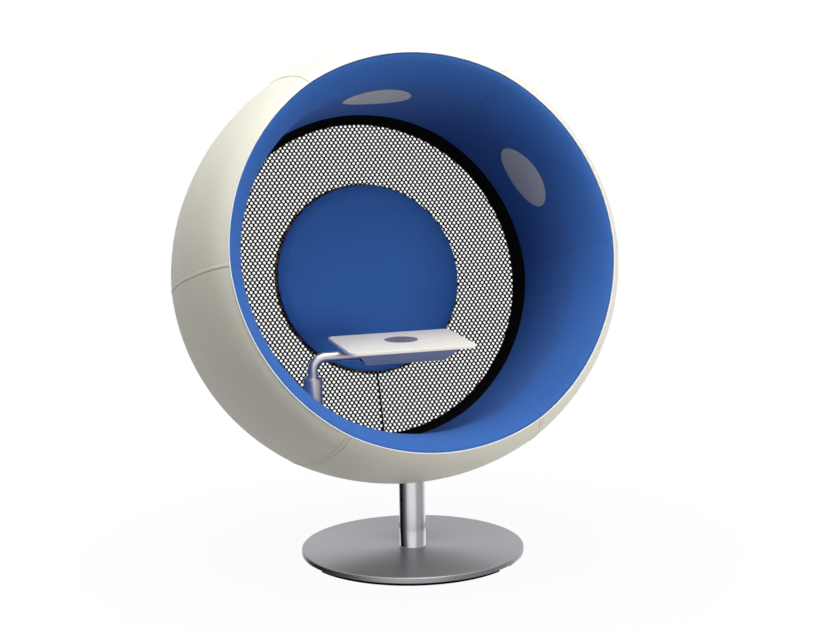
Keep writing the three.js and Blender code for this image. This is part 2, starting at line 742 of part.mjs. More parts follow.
function makeSound() {
  // Grilles lie in the lining's face, and the loudspeakers' flanges follow its back
  const face = liningShell(0, grilleThickness);
  const flanges = liningShell(liningThickness + seat, speakerFlangeThickness);
  for (const [side, angle] of Object.entries(speakerAngles)) {
    const grille = face.intersect(speakerCutter(grilleRadius, angle));
    addPiece(`speaker_grille_${side}`, grille, grilleGrey, podFrame);
    const basketDepth = speakerDepth - speakerMagnetDepth;
    const basket = turned([
      [0, -speakerSink], [speakerBasketRadius, -speakerSink], [speakerBasketRadius, speakerFlangeThickness],
      [speakerMagnetRadius, basketDepth], [speakerMagnetRadius, speakerDepth], [0, speakerDepth],
    ], roundSteps);
    const backRadius = liningRadius(speakerStation) + liningThickness;
    basket.rotateY(quarterTurn).translate(backRadius, 0, speakerStation);
    const flange = flanges.intersect(speakerCutter(speakerFlangeRadius, angle));
    addPiece(`speaker_${side}`, join(flange, solidOf(aroundPod(basket, angle))), blackPlastic, podFrame);
  }
  const amplifierFoot = ribThickness / 2 + seat;
  const amplifierRadius = lipRadius + liningThickness + amplifierGap;
  const amplifier = block(
    amplifierRadius, amplifierRadius + amplifierHeight, amplifierFoot, amplifierFoot + amplifierWidth,
    amplifierStation - amplifierLength / 2, amplifierStation + amplifierLength / 2,
  );
  addPiece('amplifier', solidOf(aroundPod(amplifier, amplifierAngle)), blackPlastic, podFrame);
  addPiece('power_inlet', inletBlock(0), blackPlastic, podFrame);
}

// Arm: a sleeve in the pod's wall, a piston that sets the height and a bent tube that swings on it

class ElbowPath extends THREE.Curve {
  constructor(foot, axisHeight, reach, bendRadius) {
    super();
    Object.assign(this, { foot, axisHeight, reach, bendRadius });
  }

  // The first and last step of the run are the straight stretches, the rest is the bend
  getPoint(t, target = new THREE.Vector3()) {
    const { foot, axisHeight, reach, bendRadius } = this;
    const ends = 1 / elbowSteps;
    const bendStart = axisHeight - bendRadius;
    if (t <= ends) return target.set(0, 0, foot + ((bendStart - foot) * t) / ends);
    if (t >= 1 - ends) {
      return target.set(bendRadius + ((reach - bendRadius) * (t - 1 + ends)) / ends, 0, axisHeight);
    }
    const turn = (quarterTurn * (t - ends)) / (1 - 2 * ends);
    return target.set(bendRadius * (1 - Math.cos(turn)), 0, bendStart + bendRadius * Math.sin(turn));
  }

  getUtoTmapping(share) {
    return share;
  }

  getTangent(t, target = new THREE.Vector3()) {
    const ends = 1 / elbowSteps;
    const turn = quarterTurn * THREE.MathUtils.clamp((t - ends) / (1 - 2 * ends), 0, 1);
    return target.set(Math.sin(turn), 0, Math.cos(turn));
  }
}

const armFrame = new THREE.Group();
armFrame.position.set(armX, armY, 0);
armFrame.rotation.z = radians(armSwingAtRest);
chair.add(armFrame);

function makeArm() {
  const sleeveBore = sleeveRadius - sleeveWall;
  const tubeBore = armRadius - armWall;

  // The sleeve's foot is a plate square to its rib, and the sleeve is cut off inside it
  const footSide = -ribThickness / 2 - seat;
  const footPlate = block(
    sleeveFootRadius, sleeveFootRadius + sleeveFootThickness, footSide - sleeveFootWidth, footSide,
    postStation - sleeveFootLength / 2, postStation + sleeveFootLength / 2,
  );
  const plate = solidOf(aroundPod(footPlate, armFootRib));
  const halfwayThrough = sleeveFootRadius + sleeveFootThickness / 2;
  const beyond = block(halfwayThrough, farOut, -farOut, farOut, -farOut, farOut);
  const beyondFoot = solidOf(aroundPod(beyond, armFootRib));
  const sleeveRing = pipe(sleeveBore, sleeveRadius, 0, sleeveTop).translate(armX, armY, 0);
  const sleeve = solidOf(sleeveRing.applyMatrix4(intoPod));
  addPiece('arm_sleeve', join(cut(sleeve, beyondFoot), plate), satinSteel, podFrame);

  const collarFoot = sleeveTop + seat;
  const collar = turned([
    [armRadius + runningFit, collarFoot - collarSpigot], [sleeveBore - seat, collarFoot - collarSpigot],
    [sleeveBore - seat, collarFoot], [sleeveRadius, collarFoot], [sleeveRadius, collarFoot + collarThickness],
    [armRadius + runningFit, collarFoot + collarThickness],
  ], fineSteps);
  addPiece('sleeve_collar', solidOf(collar), satinSteel, armFrame);

  const pistonBottom = postFoot + pistonGap;
  const pistonTop = pistonBottom + pistonHeight;
  const piston = turned([
    [0, pistonBottom], [sleeveBore - runningFit, pistonBottom], [sleeveBore - runningFit, pistonTop],
    [tubeBore - runningFit, pistonTop], [tubeBore - runningFit, pistonTop + pistonSpigot],
    [0, pistonTop + pistonSpigot],
  ], roundSteps);
  addPiece('lift_piston', solidOf(piston), blackPlastic, armFrame);

  const shape = new THREE.Shape(shapePoints(circlePoints(armRadius, tubeSides)));
  shape.holes.push(new THREE.Path(shapePoints(circlePoints(tubeBore, tubeSides))));
  const path = new ElbowPath(pistonTop + seat, armAxisHeight, armReach, armBendRadius);
  const tube = new THREE.ExtrudeGeometry(shape, { steps: elbowSteps, extrudePath: path });
  addPiece('arm_tube', solidOf(tube), satinSteel, armFrame);

  const plug = turned([
    [0, -armPlugDepth], [tubeBore - seat, -armPlugDepth], [tubeBore - seat, seat], [armRadius, seat],
    [armRadius, seat + armPlugHead], [0, seat + armPlugHead],
  ], roundSteps);
  plug.rotateY(quarterTurn).translate(armReach, 0, armAxisHeight);
  addPiece('arm_end_plug', solidOf(plug), blackPlastic, armFrame);
}

// Table

const tableFrame = new THREE.Group();
tableFrame.position.set(tableAlong, 0, 0);
armFrame.add(tableFrame);

function roundedRectangle(length, depth, radius) {
  const x = length / 2 - radius;
  const y = depth / 2 - radius;
  const shape = new THREE.Shape();
  shape.absarc(x, -y, radius, -quarterTurn, 0);
  shape.absarc(x, y, radius, 0, quarterTurn);
  shape.absarc(-x, y, radius, quarterTurn, 2 * quarterTurn);
  shape.absarc(-x, -y, radius, 2 * quarterTurn, 3 * quarterTurn);
  return shape;
}

function makeTable() {
  const underside = tableTopHeight - tableThickness;
  const inner = roundedRectangle(tableLength - 2 * tableEdgeRadius, tableDepth - 2 * tableEdgeRadius,
    tableCornerRadius - tableEdgeRadius);
  const top = new THREE.ExtrudeGeometry(inner, {
    depth: tableThickness - 2 * tableEdgeRadius, curveSegments: curveSteps, bevelSegments: 1,
    bevelSize: tableEdgeRadius, bevelThickness: tableEdgeRadius,
  }).translate(0, 0, underside + tableEdgeRadius);
  const recessFoot = tableTopHeight - tableDiscThickness - seat;
  const recess = pillar(tableDiscRadius + seat, recessFoot, tableTopHeight + overrun, discSteps);
  recess.translate(tableDiscRight, tableDiscBack, 0);
  addPiece('table_top', cut(solidOf(top), solidOf(recess)), tableCream, tableFrame);
  const disc = pillar(tableDiscRadius, recessFoot + seat, tableTopHeight, discSteps);
  disc.translate(tableDiscRight, tableDiscBack, 0);
  addPiece('table_disc', solidOf(disc), tableMetal, tableFrame);

  // A channel folded from sheet, with sloping long walls and both ends cut on a slope and open
  const high = underside - seat;
  const low = high - housingDepth;
  const wide = tableDepth / 2 - housingInset;
  const narrow = wide - housingSetback;
  const slopeLength = Math.hypot(housingSetback, housingDepth);
  const sheetAcross = (housingSheet * slopeLength) / housingDepth;
  const lowInside = low + housingSheet;
  const highInside = high - housingSheet;
  const narrowInside = narrow - sheetAcross + (housingSetback * housingSheet) / housingDepth;
  const wideInside = wide - sheetAcross - (housingSetback * housingSheet) / housingDepth;
  const channel = [
    [-wide, high], [-narrow, low], [narrow, low], [wide, high], [wide - housingFlange, high],
    [wide - housingFlange, highInside], [wideInside, highInside], [narrowInside, lowInside],
    [-narrowInside, lowInside], [-wideInside, highInside], [-wide + housingFlange, highInside],
    [-wide + housingFlange, high],
  ];
  const left = -tableLength / 2 + housingLeftInset;
  const right = tableLength / 2 - housingRightInset;
  const run = raised(channel, left, right).rotateX(quarterTurn).rotateZ(quarterTurn);
  const slope = (housingEndSlope * overrun) / housingDepth;
  const ends = raised([
    [left - slope, high + overrun], [left + housingEndSlope + slope, low - overrun],
    [right - housingEndSlope - slope, low - overrun], [right + slope, high + overrun],
  ], -tableDepth, tableDepth).rotateX(quarterTurn);
  addPiece('table_housing', solidOf(run).intersect(solidOf(ends)), satinSteel, tableFrame);

  const blockLow = lowInside + seat;
  const blockHigh = underside - seat;
  const bore = pillar(armRadius + runningFit, -tableLength, tableLength);
  const boreSolid = solidOf(bore.rotateY(quarterTurn).translate(0, 0, armAxisHeight));
  const places = {
    left: left + tiltBlockInset,
    right: Math.min(right - tiltBlockInset, armReach - tableAlong) - tiltBlockLength,
  };
  const across = tiltBlockWidth / 2;
  for (const [side, start] of Object.entries(places)) {
    const body = block(start, start + tiltBlockLength, -across, across, blockLow, blockHigh);
    addPiece(`tilt_block_${side}`, cut(solidOf(body), boreSolid), blackPlastic, tableFrame);
  }
}

makeBase();
makeColumn();
makeFrame();
makePadding();
makeBack();
makeSound();
makeArm();
makeTable();

// The origin goes under the middle of the chair's box
const extent = new THREE.Box3().setFromObject(chair, true);
chair.position.y = -(extent.min.y + extent.max.y) / 2;

export default chair;
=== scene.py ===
import json
import math

import bmesh
import bpy
import numpy as np
from bpy.props import FloatProperty, FloatVectorProperty, IntProperty, PointerProperty
from mathutils import Matrix, Vector


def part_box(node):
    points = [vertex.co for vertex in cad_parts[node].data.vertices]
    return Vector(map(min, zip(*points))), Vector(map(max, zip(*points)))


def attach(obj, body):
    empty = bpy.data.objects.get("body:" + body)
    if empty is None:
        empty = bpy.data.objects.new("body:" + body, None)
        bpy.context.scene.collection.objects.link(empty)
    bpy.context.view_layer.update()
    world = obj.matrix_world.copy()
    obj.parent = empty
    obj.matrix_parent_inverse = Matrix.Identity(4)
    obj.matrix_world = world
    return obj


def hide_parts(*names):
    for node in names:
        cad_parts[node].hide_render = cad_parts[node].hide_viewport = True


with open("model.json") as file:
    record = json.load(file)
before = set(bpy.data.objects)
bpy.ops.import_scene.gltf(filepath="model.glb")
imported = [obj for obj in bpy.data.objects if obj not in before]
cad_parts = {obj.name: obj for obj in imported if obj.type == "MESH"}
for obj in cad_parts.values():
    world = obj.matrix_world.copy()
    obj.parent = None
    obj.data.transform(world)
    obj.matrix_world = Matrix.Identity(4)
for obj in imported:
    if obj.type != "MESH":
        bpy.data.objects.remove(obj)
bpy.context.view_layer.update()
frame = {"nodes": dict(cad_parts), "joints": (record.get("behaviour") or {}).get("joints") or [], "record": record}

bl_info = {
    "name": "Pod Chair",
    "version": (1, 0, 0),
    "blender": (4, 5, 0),
    "location": "3D View > Sidebar > Pod Chair",
    "description": "Dresses a turning listening pod: padded barrel, perforated back, table and steel base",
    "category": "Object",
}

JOINTS = {joint["name"]: joint for joint in frame["joints"]}
SWIVEL = JOINTS["pod_swivel"]["pos_m"]
POST = JOINTS["table_tilt"]["pos_m"]
TILT_AXIS = JOINTS["table_tilt"]["axis"]

# The seams round the pod's axis, and how many degrees each lies off its even place
PANELS = 6
SWEEP = 2 * math.pi / PANELS
SEAM_SHIFTS = (-0.4, 0, 1.0, 0.85, 0.7, 0, -0.4)
SEAMS = np.arange(PANELS + 1) * SWEEP + np.radians(SEAM_SHIFTS)

# The panels that the column and the sleeve pass through, counted from 0
COLUMN_PANEL = 4
SLEEVE_PANEL = 3

# Where the speakers lie, in degrees round the pod's axis
SPEAKERS = {"right": 29, "top": 90, "left": 151}

# Clearance between faces that touch, between padding and what passes through it, and between tube and collar
GAP = 0.0003
HOLE_SLACK = 0.0009
RUNNING_FIT = 0.0004

# Room for the net between its two rings, and half the thickness of the tape that carries the piping
NET_ROOM = 0.004
HALF_TAPE = 0.0020


# Sizes and colours


def length(label, text, value):
    return FloatProperty(name=label, description=text, default=value, unit="LENGTH", subtype="DISTANCE")


def turn(label, text, degrees):
    return FloatProperty(name=label, description=text, default=math.radians(degrees), unit="ROTATION",
                         subtype="ANGLE")


def power(label, text, watts):
    return FloatProperty(name=label, description=text, default=watts, min=0, unit="POWER")


def colour(label, text, red, green, blue):
    def linear(value):
        share = value / 255
        return share / 12.92 if share <= 0.04045 else ((share + 0.055) / 1.055) ** 2.4
    return FloatVectorProperty(name=label, description=text, size=3, min=0, max=1, subtype="COLOR",
                               default=tuple(linear(value) for value in (red, green, blue)))


class PodChairPodSizes(bpy.types.PropertyGroup):
    """Sizes of the padded barrel"""
    height: length("Height", "Middle of the pod above the floor, on the swivel axis", 1.0266)
    tilt: turn("Tilt", "How far the opening looks up", 16)
    radius: length("Radius", "Outer radius at the widest place", 0.750)
    widest: length("Widest place", "Where along its axis the pod is widest", -0.130)
    front_curve: length("Front curve", "Radius of the cover's curve ahead of the widest place", 0.950)
    rear_curve: length("Rear curve", "Radius of the cover's curve behind the widest place", 1.600)
    rim_radius: length("Rim radius", "Radius of the piping round the opening", 0.6680)
    rim: length("Rim", "Where along its axis the piping lies", 0.200)
    shoulder: length("Shoulder", "Where the cover starts to turn in to the rim", 0.120)
    shoulder_run: length("Shoulder run", "How far the cover runs on before it turns in", 0.050)
    lip_radius: length("Lip radius", "Narrowest radius inside", 0.592)
    lip_depth: length("Lip depth", "From the rim back to the narrowest place", 0.200)
    wall_bulge: length("Wall fullness", "How far the lining's wall swells out behind the lip", 0.006)
    ring_radius: length("Ring radius", "Radius of the wall where it meets the back ring", 0.589)
    ring_station: length("Ring front", "Where along the axis the wall meets the back ring", -0.414)
    rear_seam: length("Rear seam", "Where along the axis the cover's panels end", -0.462)
    rear: length("Rear", "Where along the axis the pod ends", -0.506)
    cover_thickness: length("Cover thickness", "Thickness of the cover's padding", 0.040)
    lining_thickness: length("Lining thickness", "Thickness of the lining's padding", 0.030)
    parting: length("Parting depth", "How deep cover and lining lie against each other", 0.060)
    panel_pull: length("Panel pull", "How far the middle of a panel falls short of the round", 0.0035)
    piping_radius: length("Piping radius", "Radius of the piping's bead", 0.0024)
    lap_width: length("Lap width", "From a panel's folded edge to its row of stitches", 0.014)
    lap_height: length("Lap height", "How far the folded edge stands up", 0.0012)
    stitch_pitch: length("Stitch pitch", "From one stitch to the next", 0.0065)
    stitch_length: length("Stitch length", "Length of one stitch", 0.0045)
    thread: length("Thread", "Diameter of the thread", 0.0009)


class PodChairBackSizes(bpy.types.PropertyGroup):
    """Sizes of the net, its rings, the round pad and the speakers"""
    ring_inner: length("Ring inner radius", "Inner radius of the back ring", 0.560)
    ring_edge: length("Ring edge", "Thickness of the back ring at its inner edge", 0.005)
    net: length("Net", "Where along the pod's axis the net's front lies", -0.455)
    net_thickness: length("Net thickness", "Thickness of the net", 0.002)
    hole_pitch: length("Hole pitch", "From hole to hole in a row", 0.0167)
    row_pitch: length("Row pitch", "From row to row of holes", 0.01129)
    hole_radius: length("Hole radius", "Radius of one hole", 0.0052)
    clamp_thickness: length("Clamp thickness", "Thickness of the ring behind the net", 0.011)
    screws: IntProperty(name="Screws", description="Screws that hold the ring behind the net", default=24,
                        min=3)
    screw_radius: length("Screw radius", "Radius of a screw's head", 0.0055)
    pad_radius: length("Pad radius", "Radius of the round pad", 0.350)
    pad_thickness: length("Pad thickness", "Thickness of the round pad in its middle", 0.030)
    board_radius: length("Board radius", "Radius of the board behind the pad", 0.343)
    board_thickness: length("Board thickness", "Thickness of the board behind the pad", 0.008)
    driver_radius: length("Driver radius", "Radius of the sound driver on the board", 0.062)
    driver_height: length("Driver height", "Height of the sound driver on the board", 0.034)
    lead_radius: length("Lead radius", "Radius of the thin lead", 0.003)
    grille_radius: length("Grille radius", "Radius of a speaker grille", 0.120)
    grille_station: length("Grille place", "Where along the pod's axis the grilles lie", -0.148)
    grille_thickness: length("Grille thickness", "Thickness of a speaker grille", 0.005)


class PodChairSteelSizes(bpy.types.PropertyGroup):
    """Sizes of the base, the column, the arm and the table"""
    plate_radius: length("Plate radius", "Radius of the base plate", 0.382)
    plate_low: length("Plate underside", "Height of the base plate's underside", 0.0125)
    plate_top: length("Plate top", "Height of the base plate's upper face", 0.0315)
    plate_edge: length("Plate edge", "Width of the base plate's chamfer", 0.0032)
    foot_outer: length("Foot radius", "Outer radius of the rubber feet", 0.367)
    foot_width: length("Foot width", "Width of the rubber feet", 0.026)
    foot_sweep: turn("Foot sweep", "How far round one foot runs", 109.6)
    foot_facing: turn("Foot facing", "Where the first foot's middle lies", 248.3)
    column_radius: length("Column radius", "Outer radius of the column", 0.045)
    column_wall: length("Column wall", "Wall thickness of the column", 0.005)
    arm_radius: length("Arm radius", "Outer radius of the arm's tube", 0.017)
    arm_wall: length("Arm wall", "Wall thickness of the arm's tube", 0.0025)
    arm_bend: length("Arm bend", "Bend radius of the arm's tube", 0.045)
    arm_reach: length("Arm reach", "Level length of the arm, from the post's axis", 0.372)
    sleeve_radius: length("Sleeve radius", "Outer radius of the sleeve", 0.032)
    sleeve_wall: length("Sleeve wall", "Wall thickness of the sleeve", 0.003)
    table_length: length("Table length", "Length of the table", 0.435)
    table_depth: length("Table depth", "Depth of the table", 0.323)
    table_thickness: length("Table thickness", "Thickness of the table", 0.0115)
    table_corner: length("Table corner", "Corner radius of the table", 0.026)
    table_edge: length("Table edge", "Edge radius of the table", 0.002)
    table_top: length("Table height", "Height of the table's face", 0.759)
    table_along: length("Table place", "From the post's axis to the table's middle", 0.308)
    disc_radius: length("Disc radius", "Radius of the metal disc in the table", 0.057)
    disc_thickness: length("Disc thickness", "Thickness of the metal disc in the table", 0.002)
    disc_back: length("Disc back", "From the table's middle to the disc, towards the sitter", 0.020)
    disc_right: length("Disc right", "From the table's middle to the disc, along the arm", 0.006)
    housing_depth: length("Housing depth", "Height of the folded housing", 0.047)
    housing_sheet: length("Housing sheet", "Thickness of the housing's sheet", 0.002)
    housing_inset: length("Housing inset", "From the table's long edges in to the housing", 0.018)
    housing_setback: length("Housing setback", "How far the housing's long walls slope in", 0.050)
    housing_end_slope: length("Housing end slope", "How far the housing's ends slope in", 0.042)
    housing_left: length("Housing left inset", "From the table's left edge to the housing", 0.031)
    housing_right: length("Housing right inset", "From the table's right edge to the housing", 0.052)
    housing_flange: length("Housing flange", "Width of the housing's flanges", 0.014)


class PodChairColours(bpy.types.PropertyGroup):
    """Colours of the finishes"""
    cover: colour("Cover", "Off-white leather of the cover", 232, 229, 214)
    piping: colour("Piping", "Piping round the opening", 238, 242, 246)
    lining: colour("Lining", "Blue cloth of the lining", 60, 107, 181)
    pad: colour("Pad", "Blue cloth of the round pad", 60, 106, 178)
    thread: colour("Thread", "Thread of the seams", 214, 209, 196)
    net: colour("Net", "Perforated back net", 4, 4, 5)
    ring: colour("Ring", "Ring round the net", 2, 2, 2)
    grille: colour("Grille", "Speaker grilles", 250, 247, 240)
    plate: colour("Plate", "Brushed steel of the base plate", 160, 161, 166)
    steel: colour("Steel", "Satin steel of the column, the screws and the bolt", 220, 220, 226)
    arm_steel: colour("Arm", "Blasted steel of the arm, its sleeve and collar", 228, 219, 220)
    housing: colour("Housing", "Folded housing beneath the table", 186, 190, 204)
    rubber: colour("Rubber", "Rubber feet", 2, 2, 2)
    table: colour("Table", "Off-white table", 253, 247, 236)
    disc: colour("Disc", "Metal disc in the table", 188, 173, 176)
    plastic: colour("Plastic", "Black plastic parts", 18, 18, 20)
    frame_steel: colour("Frame steel", "Painted steel inside the pod and the column", 46, 48, 52)
    plywood: colour("Plywood", "Ribs inside the pod and board behind the pad", 190, 152, 108)
    bronze: colour("Bronze", "Bearings", 170, 130, 66)
    floor: colour("Floor", "Floor and backdrop", 170, 170, 170)


class PodChairLights(bpy.types.PropertyGroup):
    """Strength of the studio's lights"""
    top: power("Top", "Large soft light above the chair", 118)
    high_front: power("High front", "Soft light high in front", 46)
    front: power("Front", "Soft light low in front, at the right", 82)
    right: power("Right", "Soft light at the right", 50)
    left: power("Left", "Soft light at the left", 13)
    low_left: power("Low left", "Small soft light low at the left", 17)
    upper_left: power("Upper left", "Soft light high at the left", 31)
    sky: FloatProperty(name="Sky", description="Light from all sides", default=0.03, min=0)


def pod_sizes():
    return bpy.context.scene.pod_chair_pod


def back_sizes():
    return bpy.context.scene.pod_chair_back


def steel_sizes():
    return bpy.context.scene.pod_chair_steel


def colours():
    return bpy.context.scene.pod_chair_colours


# Places


def pod_matrix():
    """From the pod's own frame, whose Z points out of the opening, to the chair's"""
    s = pod_sizes()
    lean = Matrix.Rotation(math.pi / 2 - s.tilt, 4, "X")
    return Matrix.Translation((SWIVEL[0], SWIVEL[1], s.height)) @ lean


def swivel_matrix():
    return Matrix.Translation((SWIVEL[0], SWIVEL[1], 0))


def post_matrix():
    return Matrix.Translation((POST[0], POST[1], 0))


def arm_matrix():
    """From a frame whose X runs along the level arm and whose Z is the post's axis"""
    heading = math.atan2(-TILT_AXIS[1], -TILT_AXIS[0])
    return post_matrix() @ Matrix.Rotation(heading, 4, "Z")


def table_matrix():
    return arm_matrix() @ Matrix.Translation((steel_sizes().table_along, 0, 0))


def net_rear():
    """Where along the pod's axis the net's back lies"""
    return back_sizes().net - NET_ROOM


# Mesh helpers


def moved(points, matrix):
    turned = np.array(matrix.to_3x3())
    return points @ turned.T + np.array(matrix.translation)


def linked(name, data):
    """A new object in the scene"""
    thing = bpy.data.objects.new(name, data)
    bpy.context.scene.collection.objects.link(thing)
    return thing


def smoothed(mesh, sharp=40):
    """Smooth shading, but for edges over an angle in degrees"""
    mesh.shade_smooth()
    mesh.set_sharp_from_angle(angle=math.radians(sharp))


def add_surface_map(mesh, spots):
    """Gives a mesh its own surface map, from one spot for each point"""
    layer = mesh.uv_layers.new(name="surface")
    corners = np.empty(len(mesh.loops), dtype=np.int32)
    mesh.loops.foreach_get("vertex_index", corners)
    layer.data.foreach_set("uv", np.asarray(spots, dtype=np.float32)[corners].ravel())


def piece_of(name, points, faces, spots=None, sharp=40):
    """A mesh object from points and faces, welded, facing outwards, smooth but for its sharp edges"""
    mesh = bpy.data.meshes.new(name)
    mesh.from_pydata(np.asarray(points).tolist(), [], faces)
    if spots is not None:
        add_surface_map(mesh, spots)
    weld(mesh)
    smoothed(mesh, sharp)
    return linked(name, mesh)


def points_of(piece):
    """The places of a piece's points"""
    places = np.empty(len(piece.data.vertices) * 3)
    piece.data.vertices.foreach_get("co", places)
    return places.reshape(-1, 3)


def weld(mesh):
    """Merges doubled points and turns the faces outwards"""
    build = bmesh.new()
    build.from_mesh(mesh)
    bmesh.ops.remove_doubles(build, verts=build.verts, dist=1e-6)
    bmesh.ops.dissolve_degenerate(build, edges=build.edges, dist=1e-7)
    bmesh.ops.recalc_face_normals(build, faces=build.faces)
    build.to_mesh(mesh)
    build.free()


def loft_faces(rows, columns, round_rows=False, round_columns=True):
    """Faces between rows of points, closed at both ends unless the rows run round"""
    faces = []
    last_row = rows if round_rows else rows - 1
    last_column = columns if round_columns else columns - 1
    for row in range(last_row):
        after = (row + 1) % rows
        for column in range(last_column):
            beside = (column + 1) % columns
            faces.append((row * columns + column, after * columns + column,
                          after * columns + beside, row * columns + beside))
    if not round_rows:
        faces.append(tuple(range(columns)))
        faces.append(tuple(range((rows - 1) * columns, rows * columns)))
    return faces


def bezier(points, steps):
    """Points along a Bezier curve through its first and last point"""
    share = np.linspace(0, 1, steps + 1)[:, None]
    level = [np.array(point, float)[None, :].repeat(steps + 1, 0) for point in points]
    while len(level) > 1:
        level = [a * (1 - share) + b * share for a, b in zip(level, level[1:])]
    return level[0]


def rounded(outline, radius, steps=4):
    """A closed outline whose corners are turned into small curves"""
    outline = np.array(outline, float)
    count = len(outline)
    radii = np.broadcast_to(radius, (count,))
    result = []
    for i in range(count):
        before, here, after = outline[i - 1], outline[i], outline[(i + 1) % count]
        reach = min(radii[i], np.linalg.norm(before - here) / 2, np.linalg.norm(after - here) / 2)
        if reach <= 0:
            result.append(here[None, :])
            continue
        start = here + (before - here) / np.linalg.norm(before - here) * reach
        end = here + (after - here) / np.linalg.norm(after - here) * reach
        result.append(bezier([start, here, end], steps))
    return np.concatenate(result)


def circle(count):
    """Evenly spaced angles, once round"""
    return np.arange(count) * 2 * math.pi / count


def around(radii, angles, levels):
    """Points at radii, angles and heights about a Z axis"""
    heights = np.broadcast_to(levels, radii.shape)
    return np.stack([radii * np.cos(angles), radii * np.sin(angles), heights], -1)


def turned_piece(name, outline, matrix, segments=192, closed=True, pull=None, sharp=40):
    """An outline of radius and height turned about the Z axis of a frame"""
    outline = np.array(outline, float)
    angles = circle(segments)
    radii = np.broadcast_to(outline[:, 0], (segments, len(outline))).copy()
    if pull is not None:
        radii -= pull(angles)[:, None]
    points = around(radii, angles[:, None], outline[:, 1]).reshape(-1, 3)
    faces = loft_faces(segments, len(outline), round_rows=True, round_columns=closed)
    return piece_of(name, moved(points, matrix), faces, None, sharp)


def pillar(name, radius, low, high, matrix, segments=96):
    """A plain round post, closed at both ends"""
    return turned_piece(name, [(0, low), (radius, low), (radius, high), (0, high)], matrix, segments, False)


def swept_tube(name, path, radius, matrix, inner=None, sides=40):
    """A round tube along a path, hollow where an inner radius is given"""
    path = np.array(path, float)
    ahead = np.gradient(path, axis=0)
    ahead /= np.linalg.norm(ahead, axis=1)[:, None]
    side = np.cross(ahead[0], [0, 0, 1] if abs(ahead[0][2]) < 0.9 else [0, 1, 0])
    rings = []
    turns = circle(sides)
    for place, along in zip(path, ahead):
        side = side - along * np.dot(side, along)
        side /= np.linalg.norm(side)
        rings.append((place, side, np.cross(along, side)))

    def loops(size):
        return np.array([place + size * (np.cos(turns)[:, None] * a + np.sin(turns)[:, None] * b)
                         for place, a, b in rings])
    hollow = inner is not None
    grid = np.concatenate([loops(radius), loops(inner)[::-1]]) if hollow else loops(radius)
    return piece_of(name, moved(grid.reshape(-1, 3), matrix), loft_faces(len(grid), sides, round_rows=hollow))


def bevelled_block(name, low, high, matrix, edge):
    """A block between two corners, with rounded edges"""
    low, high = np.array(low, float), np.array(high, float)
    mesh = bpy.data.meshes.new(name)
    build = bmesh.new()
    bmesh.ops.create_cube(build, size=1)
    for vert in build.verts:
        vert.co = Vector((low + high) / 2 + np.array(vert.co) * (high - low))
    bmesh.ops.bevel(build, geom=build.edges[:], offset=edge, segments=3, profile=0.5, affect="EDGES")
    build.transform(matrix)
    build.to_mesh(mesh)
    build.free()
    smoothed(mesh)
    return linked(name, mesh)


def settle(piece):
    """Turns a piece with its modifiers into a plain mesh"""
    bpy.context.view_layer.update()
    shown = piece.evaluated_get(bpy.context.evaluated_depsgraph_get())
    mesh = bpy.data.meshes.new_from_object(shown)
    piece.modifiers.clear()
    old = piece.data
    piece.data = mesh
    if old.users == 0:
        bpy.data.meshes.remove(old)
    mesh.name = piece.name


def throw_away(piece):
    mesh = piece.data
    bpy.data.objects.remove(piece)
    bpy.data.meshes.remove(mesh)


def cut_out(piece, *tools, sharp=40):
    """Cuts closed pieces out of a piece and throws them away"""
    for tool in tools:
        hole = piece.modifiers.new("hole", "BOOLEAN")
        hole.operation = "DIFFERENCE"
        hole.solver = "EXACT"
        hole.object = tool
    settle(piece)
    for tool in tools:
        throw_away(tool)
    smoothed(piece.data, sharp)


def joined(name, *pieces):
    """Several pieces as one"""
    build = bmesh.new()
    for piece in pieces:
        build.from_mesh(piece.data)
    mesh = bpy.data.meshes.new(name)
    build.to_mesh(mesh)
    build.free()
    for piece in pieces:
        throw_away(piece)
    return linked(name, mesh)


def dress(piece, finish, body, *nodes, slot=None):
    """Gives a piece its finish and body, and hides the nodes that it stands for"""
    piece.data.materials.clear()
    piece.data.materials.append(finish_of(finish))
    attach(piece, body)
    if nodes:
        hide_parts(*nodes)


# Node helpers


class Wiring:
    """Adds nodes to a tree and joins them"""

    def __init__(self, tree):
        self.tree = tree
        tree.nodes.clear()

    def add(self, kind, inputs=None, **settings):
        node = self.tree.nodes.new(kind)
        for key, value in settings.items():
            setattr(node, key, value)
        for key, value in (inputs or {}).items():
            if isinstance(value, bpy.types.NodeSocket):
                self.tree.links.new(value, node.inputs[key])
            else:
                node.inputs[key].default_value = value
        return node

    def math(self, operation, *values, clamp=False):
        inputs = dict(enumerate(values))
        return self.add("ShaderNodeMath", inputs, operation=operation, use_clamp=clamp).outputs[0]


def new_material(name):
    """A material with an empty tree"""
    material = bpy.data.materials.new(name)
    material.use_nodes = True
    return material, Wiring(material.node_tree)


def close_material(wires, surface, bump, distance, strength):
    """Raises a surface by a bump and hands it to the material"""
    relief = wires.add("ShaderNodeBump", {"Height": bump, "Distance": distance, "Strength": strength})
    wires.tree.links.new(relief.outputs["Normal"], surface.inputs["Normal"])
    wires.add("ShaderNodeOutputMaterial", {"Surface": surface.outputs[0]})


def noise(wires, vector, scale, detail=3.0, roughness=0.55, distortion=0.0):
    """Soft noise from 0 to 1"""
    return wires.add("ShaderNodeTexNoise", {
        "Vector": vector, "Scale": scale, "Detail": detail, "Roughness": roughness,
        "Distortion": distortion,
    }).outputs["Fac"]


def between(wires, value, low, high, low_in=0.25, high_in=0.75):
    """A value taken from one range to another"""
    return wires.add("ShaderNodeMapRange", {
        "Value": value, "From Min": low_in, "From Max": high_in, "To Min": low, "To Max": high,
    }).outputs["Result"]


